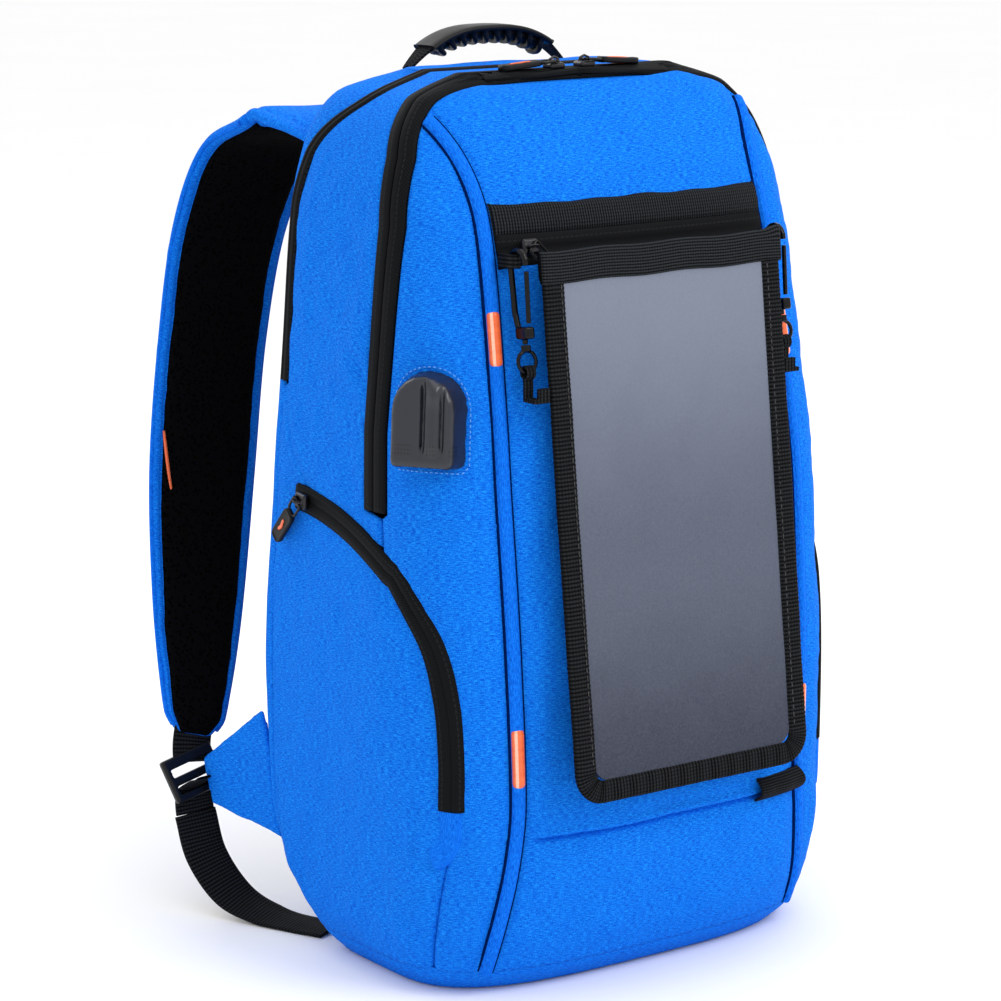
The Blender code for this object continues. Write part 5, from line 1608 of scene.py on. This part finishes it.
def make_light_loop():
    """The folded webbing loop low on the right, standing off the front."""
    middle_x, half_length = 0.0735, 0.017
    top, height = 0.0925 + 0.0056, 0.0112
    shares = np.linspace(0, 1, 33)
    xs = np.linspace(middle_x - half_length, middle_x + half_length, 40)
    x, z = np.broadcast_arrays(xs[:, None], top - height * shares[None, :])
    bulge = np.sin(math.pi * shares)[None, :]
    sag = 0.0003 * np.sin(np.arange(len(xs)) * 0.35)[:, None]
    lift = 0.0052 * np.abs(bulge) ** 0.85 + 0.0016 + sag * bulge
    base = xyz(x, front_y(x, z), z)
    points = base + normals(base) * lift[..., None]
    away = points - points.mean((0, 1)) + (0, 0.01, 0)
    uv = tape_uv(xs, shares * 0.024)[..., ::-1]
    loop = grid("light_loop_webbing", points, ("webbing",), outward=away, uv=uv)
    thicken(loop, 0.0014)
    place_piece(loop, "bag", "light_loop")


HANDLE_Y = 0.076
HANDLE_FOOT_X = 0.053
GRIP_HALF_LENGTH = 0.0395
# Sections across the grip's flat rail and the core under it: (depth, height) pairs.
RAIL_SECTION = (
    (-0.0104, 0.0),
    (-0.0100, 0.0010),
    (-0.0088, 0.0015),
    (-0.0040, 0.0017),
    (0.0040, 0.0017),
    (0.0088, 0.0015),
    (0.0100, 0.0010),
    (0.0104, 0.0),
    (0.0098, -0.0013),
    (0.0080, -0.0016),
    (-0.0080, -0.0016),
    (-0.0098, -0.0013),
)
CORE_SECTION = (
    (-0.0062, -0.0010),
    (-0.0066, -0.0030),
    (-0.0055, -0.0052),
    (-0.0030, -0.0064),
    (0.0, -0.0068),
    (0.0030, -0.0064),
    (0.0055, -0.0052),
    (0.0066, -0.0030),
    (0.0062, -0.0010),
    (0.0, -0.0006),
)
RIB_SECTION = ((-1, -1.4), (-1, 0.2), (-0.6, 0.9), (0, 1.1), (0.6, 0.9), (1, 0.2), (1, -1.4), (0, -1.6))


def handle_rise(x):
    """The height of the handle's middle line across the bag."""
    share = np.minimum(np.abs(x) / HANDLE_FOOT_X, 1.0)
    return 0.478 + 0.021 * (1 - share**2.6)


def handle_slope(x):
    return (handle_rise(x + 1e-3) - handle_rise(x - 1e-3)) / 2e-3


def grip_rib(name, middle):
    """One slanted rib hung under the grip from side to side."""
    rows = []
    for t in np.linspace(0, math.pi, 19):
        reach = -math.cos(t)
        x = middle + 0.0016 * reach + 0.0022 * math.sin(t)
        y = 0.0086 * curved(reach, 0.7)
        drop = -0.0012 - 0.0066 * math.sin(t) ** 0.55
        slope = handle_slope(x)
        up = np.array((-slope, 0, 1.0)) / math.hypot(slope, 1)
        along = np.array((1.0, 0, slope)) / math.hypot(slope, 1)
        spot = np.array((x, HANDLE_Y + y, handle_rise(x))) + up * drop
        out = unit(np.array((0.0, curved(reach, 0.6), 0)) - up * math.sin(t))
        rows.append([spot + along * a * 0.0017 + out * b * 0.0013 for a, b in RIB_SECTION])
    return grid(name, rows, ("grip",), wrap=True)


def make_grip():
    """The handle's moulded grip: a flat top rail over a core with slanted ribs."""
    x = np.linspace(-GRIP_HALF_LENGTH, GRIP_HALF_LENGTH, 90)
    up = unit(xyz(-handle_slope(x), 0, 1))
    centre = xyz(x, HANDLE_Y, handle_rise(x))
    parts = []
    for name, section, low, high in (("rail", RAIL_SECTION, 0, 90), ("core", CORE_SECTION, 3, 87)):
        depths, heights = np.array(section).T
        points = centre[low:high, None] + depths[None, :, None] * (0, 1.0, 0)
        points = points + up[low:high, None] * heights[None, :, None]
        piece = grid(f"grip_{name}", points, ("grip",), wrap=True)
        bevelled(piece, 0.0003, 1, 50)
        parts.append(piece)
    parts += [grip_rib(f"grip_rib_{k}", 0.035 * (2 * k / 9 - 1)) for k in range(10)]
    place_piece(join("handle_grip", parts), "handle", "top_handle")


def make_handle_ends():
    """The webbing legs, pinched towards each foot, and the stitched patches that they stand on."""
    start, length, count = 0.0375, 0.0149, 16
    across = np.linspace(-1, 1, 15)
    index = np.minimum(np.arange(count), np.arange(count)[::-1])
    edge = np.minimum(index[:, None], index[None, :])
    for side, name in SIDES:
        x = side * np.linspace(start, 0.0524, 40)
        share = (np.abs(x) - start) / length
        width = 0.0092 - 0.0052 * share**0.7
        base = xyz(x, HANDLE_Y, handle_rise(x))
        up = np.cross(frames_along(base), (0, 1.0, 0)) * -side
        up[:, 2] = np.abs(up[:, 2])
        fold = 0.0013 * share[:, None] * np.cos(across * math.pi * 1.5)[None, :]
        points = base[:, None] + (across[None, :] * width[:, None])[..., None] * np.array((0, 1.0, 0))
        points = points + up[:, None] * (fold + 0.0010)[..., None]
        outward = np.repeat(up[:, None], len(across), 1)
        uv = tape_uv(travelled(base), across * 0.009)
        leg = grid(f"handle_leg_{name}", points, ("webbing",), outward=outward, uv=uv)
        thicken(leg, 0.0016)
        rounded(leg)
        place_piece(leg, "handle", None)
        x, y = side * np.linspace(0.0480, 0.0600, count), np.linspace(0.0690, 0.0830, count)
        x, y = np.broadcast_arrays(x[:, None], y[None, :])
        patch = xyz(x, y, top_z(x, y))
        outward = normals(patch)
        patch = patch + outward * (0.0013 * np.clip(edge / 1.5, 0.05, 1))[..., None]
        anchor = grid(f"handle_anchor_{name}", patch, ("webbing",), outward=outward)
        rounded(anchor)
        place_piece(anchor, "bag", None)


# The shoulder strap's middle line and width, for the side at x < 0.
STRAP = (
    ((-0.0775, 0.1415, 0.4488), 0.086),
    ((-0.085, 0.176, 0.430), 0.080),
    ((-0.094, 0.197, 0.385), 0.074),
    ((-0.101, 0.208, 0.320), 0.070),
    ((-0.110, 0.208, 0.245), 0.068),
    ((-0.122, 0.196, 0.175), 0.058),
    ((-0.137, 0.176, 0.122), 0.042),
    ((-0.1445, 0.1655, 0.099), 0.030),
)
STRAP_HALF_THICKNESS = 0.006
# The yoke's middle line and width, for the side at x > 0.
YOKE = (
    (0.0640, 0.0840, 0.4405, 0.090),
    (0.0655, 0.0960, 0.4450, 0.092),
    (0.0680, 0.1120, 0.4490, 0.091),
    (0.0715, 0.1280, 0.4508, 0.089),
    (0.0750, 0.1400, 0.4500, 0.087),
    (0.0785, 0.1495, 0.4460, 0.085),
)


# The loose webbing at x < 0: its tail under the bag, its run to the buckle and its root on the wing.
TAIL = (
    (-0.1490, 0.1585, 0.0560),
    (-0.1470, 0.1500, 0.0320),
    (-0.1400, 0.1330, 0.0120),
    (-0.1300, 0.1120, 0.0034),
    (-0.1200, 0.0900, 0.0014),
    (-0.1120, 0.0720, 0.0014),
)
FEED = (
    (-0.1440, 0.1665, 0.1040),
    (-0.1462, 0.1650, 0.0960),
    (-0.1472, 0.1635, 0.0905),
    (-0.1480, 0.1612, 0.0850),
)
ROOT = (
    (-0.1435, 0.1470, 0.0800),
    (-0.1455, 0.1530, 0.0760),
    (-0.1485, 0.1580, 0.0700),
    (-0.1492, 0.1590, 0.0640),
    (-0.1490, 0.1585, 0.0560),
)
PAD_CORNER = 0.62
PAD_EDGE_SEAM = 0.84


def pad_frame(path, upward):
    """The ways across a padded band and out of it. upward is an axis and the sign that out has on it."""
    tangent = frames_along(path)
    across = square_to(tangent, (1.0, 0, 0))
    out = np.cross(across, tangent)
    axis, sign = upward
    return across, out * np.where(sign * out[:, axis:axis + 1] < 0, -1, 1)


def edge_seam(share):
    """How far the seam along a pad's edge pulls its thickness in."""
    return 1 - 0.42 * bell(np.abs(share), PAD_EDGE_SEAM, 0.035)


def wrinkled(points, wrinkle):
    """The points moved out from their row's middle by a wrinkle's height."""
    away = points - points.mean(axis=1, keepdims=True)
    return points + away / np.maximum(size_of(away), 1e-6) * wrinkle[..., None]


def make_strap(side, name):
    """A shoulder strap: a padded band, blue outside and mesh inside, piped along both edges."""
    path = curve_through([(-side * x, y, z, width) for (x, y, z), width in STRAP], 150)
    centre, half = path[:, :3], path[:, 3] / 2
    across, inner = pad_frame(centre, (1, -1))
    turn = np.linspace(0, 2 * math.pi, 60, endpoint=False)
    length = np.linspace(0, 1, len(centre))
    tip = np.clip((1 - length) / 0.03, 0.05, 1) ** 0.5
    root = np.clip(length / 0.006, 0.6, 1) ** 0.5
    narrowed = 0.55 + 0.45 * tip
    wide = half[:, None] * curved(np.cos(turn), PAD_CORNER)
    share = wide / half[:, None]
    ribs = 1 - 0.16 * bell(np.abs(share), 0.30, 0.05)
    deep = STRAP_HALF_THICKNESS * curved(np.sin(turn), 0.75)
    deep = deep[None, :] * (edge_seam(share) * ribs * (tip * root)[:, None])
    wide = wide * narrowed[:, None]
    points = centre[:, None] + across[:, None] * wide[..., None] + inner[:, None] * deep[..., None]
    points = wrinkled(points, crumple(points * (0.7, 1, 1.6), 0.045, 0.00055, 51 + side))
    middle = turn + math.pi / len(turn)
    is_mesh = (np.sin(middle) > 0) & (np.abs(curved(np.cos(middle), PAD_CORNER)) < 0.845)

    def slots(r, c):
        return np.repeat(is_mesh.astype(int)[None, :], r, axis=0)

    pad = grid(f"shoulder_pad_{name}", points, ("blue", "mesh"), wrap=True, slot_of=slots)
    rounded(pad)
    apply(pad)
    place_piece(pad, f"strap_{name}", f"strap_{name}")
    for edge in (-1, 1):
        line = centre + across * (half * edge * narrowed * 0.985)[:, None] + inner * 0.0006
        label = "outer" if edge * side > 0 else "inner"
        cord = tube(f"pad_piping_{name}_{label}", line[2:-2], 0.0016, "blue_trim", (0, 1, 0))
        place_piece(cord, f"strap_{name}", None)
    at = int(np.argmin(np.abs(centre[:, 2] - 0.252)))
    near_mark = slice(at - 5, at + 9)
    line = centre + across * (half * side * 0.86)[:, None] + inner * 0.0050
    line = line[near_mark] + across[near_mark] * (np.linspace(0, 0.006, 14) * -side)[:, None]
    taper = np.sin(np.linspace(0.3, math.pi - 0.3, 14)) ** 0.3
    mark = tube(f"strap_piping_mark_{name}", line, 0.0010, "orange", (0, 1, 0), taper=taper)
    place_piece(mark, f"strap_{name}", None)


def make_yoke(side, name):
    """The padded yoke that turns from the bag's back into the strap, and bends where the two meet."""
    path = curve_through([(side * x, y, z, width) for x, y, z, width in YOKE], 60)
    centre, half = path[:, :3], path[:, 3] / 2
    across, outward = pad_frame(centre, (2, 1))
    turn = np.linspace(0, 2 * math.pi, 60, endpoint=False)
    swell = STRAP_HALF_THICKNESS * (0.72 + 0.34 * np.linspace(0, 1, len(path)))
    wide = half[:, None] * curved(np.cos(turn), PAD_CORNER)
    deep = swell[:, None] * curved(np.sin(turn), 0.75) * edge_seam(wide / half[:, None])
    points = centre[:, None] + across[:, None] * wide[..., None] + outward[:, None] * deep[..., None]
    points = wrinkled(points, crumple(points, 0.05, 0.0006, 61))
    buried = form_value(points) < 1.01
    on_form = project(points)
    points = np.where(buried[..., None], on_form + normals(on_form) * 0.0012, points)
    yoke = grid(f"yoke_{name}_cloth", points, ("blue",), wrap=True)
    rounded(yoke)
    apply(yoke)
    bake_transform(yoke)
    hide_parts(f"yoke_{name}")


def make_wing(name):
    """The blue wing at the foot of each side, which the loose webbing comes from."""
    wing = copy_of(f"wing_{name}", f"wing_{name}_cloth", "blue", 0.0011, 5)
    points = points_of(wing)
    set_points(wing, points + normals_of(wing) * (0.0003 + crumple(points, 0.03, 0.0004, 71))[:, None])
    box_uv(wing)
    place_piece(wing, "bag", f"wing_{name}")


def loose_webbing(name, side, line, width, guide, body, node=None):
    """A flat length of webbing along a line; guide is the way across it."""
    path = curve_through([(-side * x, y, z) for x, y, z in line], 90)
    way = frames_along(path)
    across = square_to(way, guide)
    up = np.cross(way, across)
    share = np.linspace(-0.5, 0.5, 11)
    points = path[:, None] + across[:, None] * (share * width)[None, :, None]
    points += up[:, None] * (0.0003 * np.cos(share * 6.28))[None, :, None]
    outward = np.repeat(up[:, None], len(share), 1)
    uv = tape_uv(travelled(path), share * width)
    piece = grid(name, points + up[:, None] * 0.0007, ("webbing",), outward=outward, uv=uv)
    thicken(piece, 0.0014)
    place_piece(piece, body, node)


def make_straps():
    """Each side's strap, yoke, wing and loose webbing."""
    for side, name in SIDES:
        make_strap(side, name)
        make_yoke(side, name)
        make_wing(name)
        level, tilted = (1, 0.12 * side, 0), (1, 0, -0.2 * side)
        loose_webbing(f"strap_tail_{name}", side, TAIL, 0.025, level, "bag", f"webbing_tail_{name}")
        loose_webbing(f"strap_feed_{name}", side, FEED, 0.0235, tilted, f"strap_{name}")
        loose_webbing(f"wing_webbing_{name}", side, ROOT, 0.0240, tilted, "bag")


FINISH = make_finishes()
make_camera()
make_stage()
make_front()
make_piping()
make_main_zip()
make_side_panels()
make_laptop_zip()
make_back()
make_back_pad()
make_base()
make_front_bands()
make_panel_trim()
make_hardware()
make_pulls()
make_hood()
make_light_loop()
make_grip()
make_handle_ends()
make_straps()
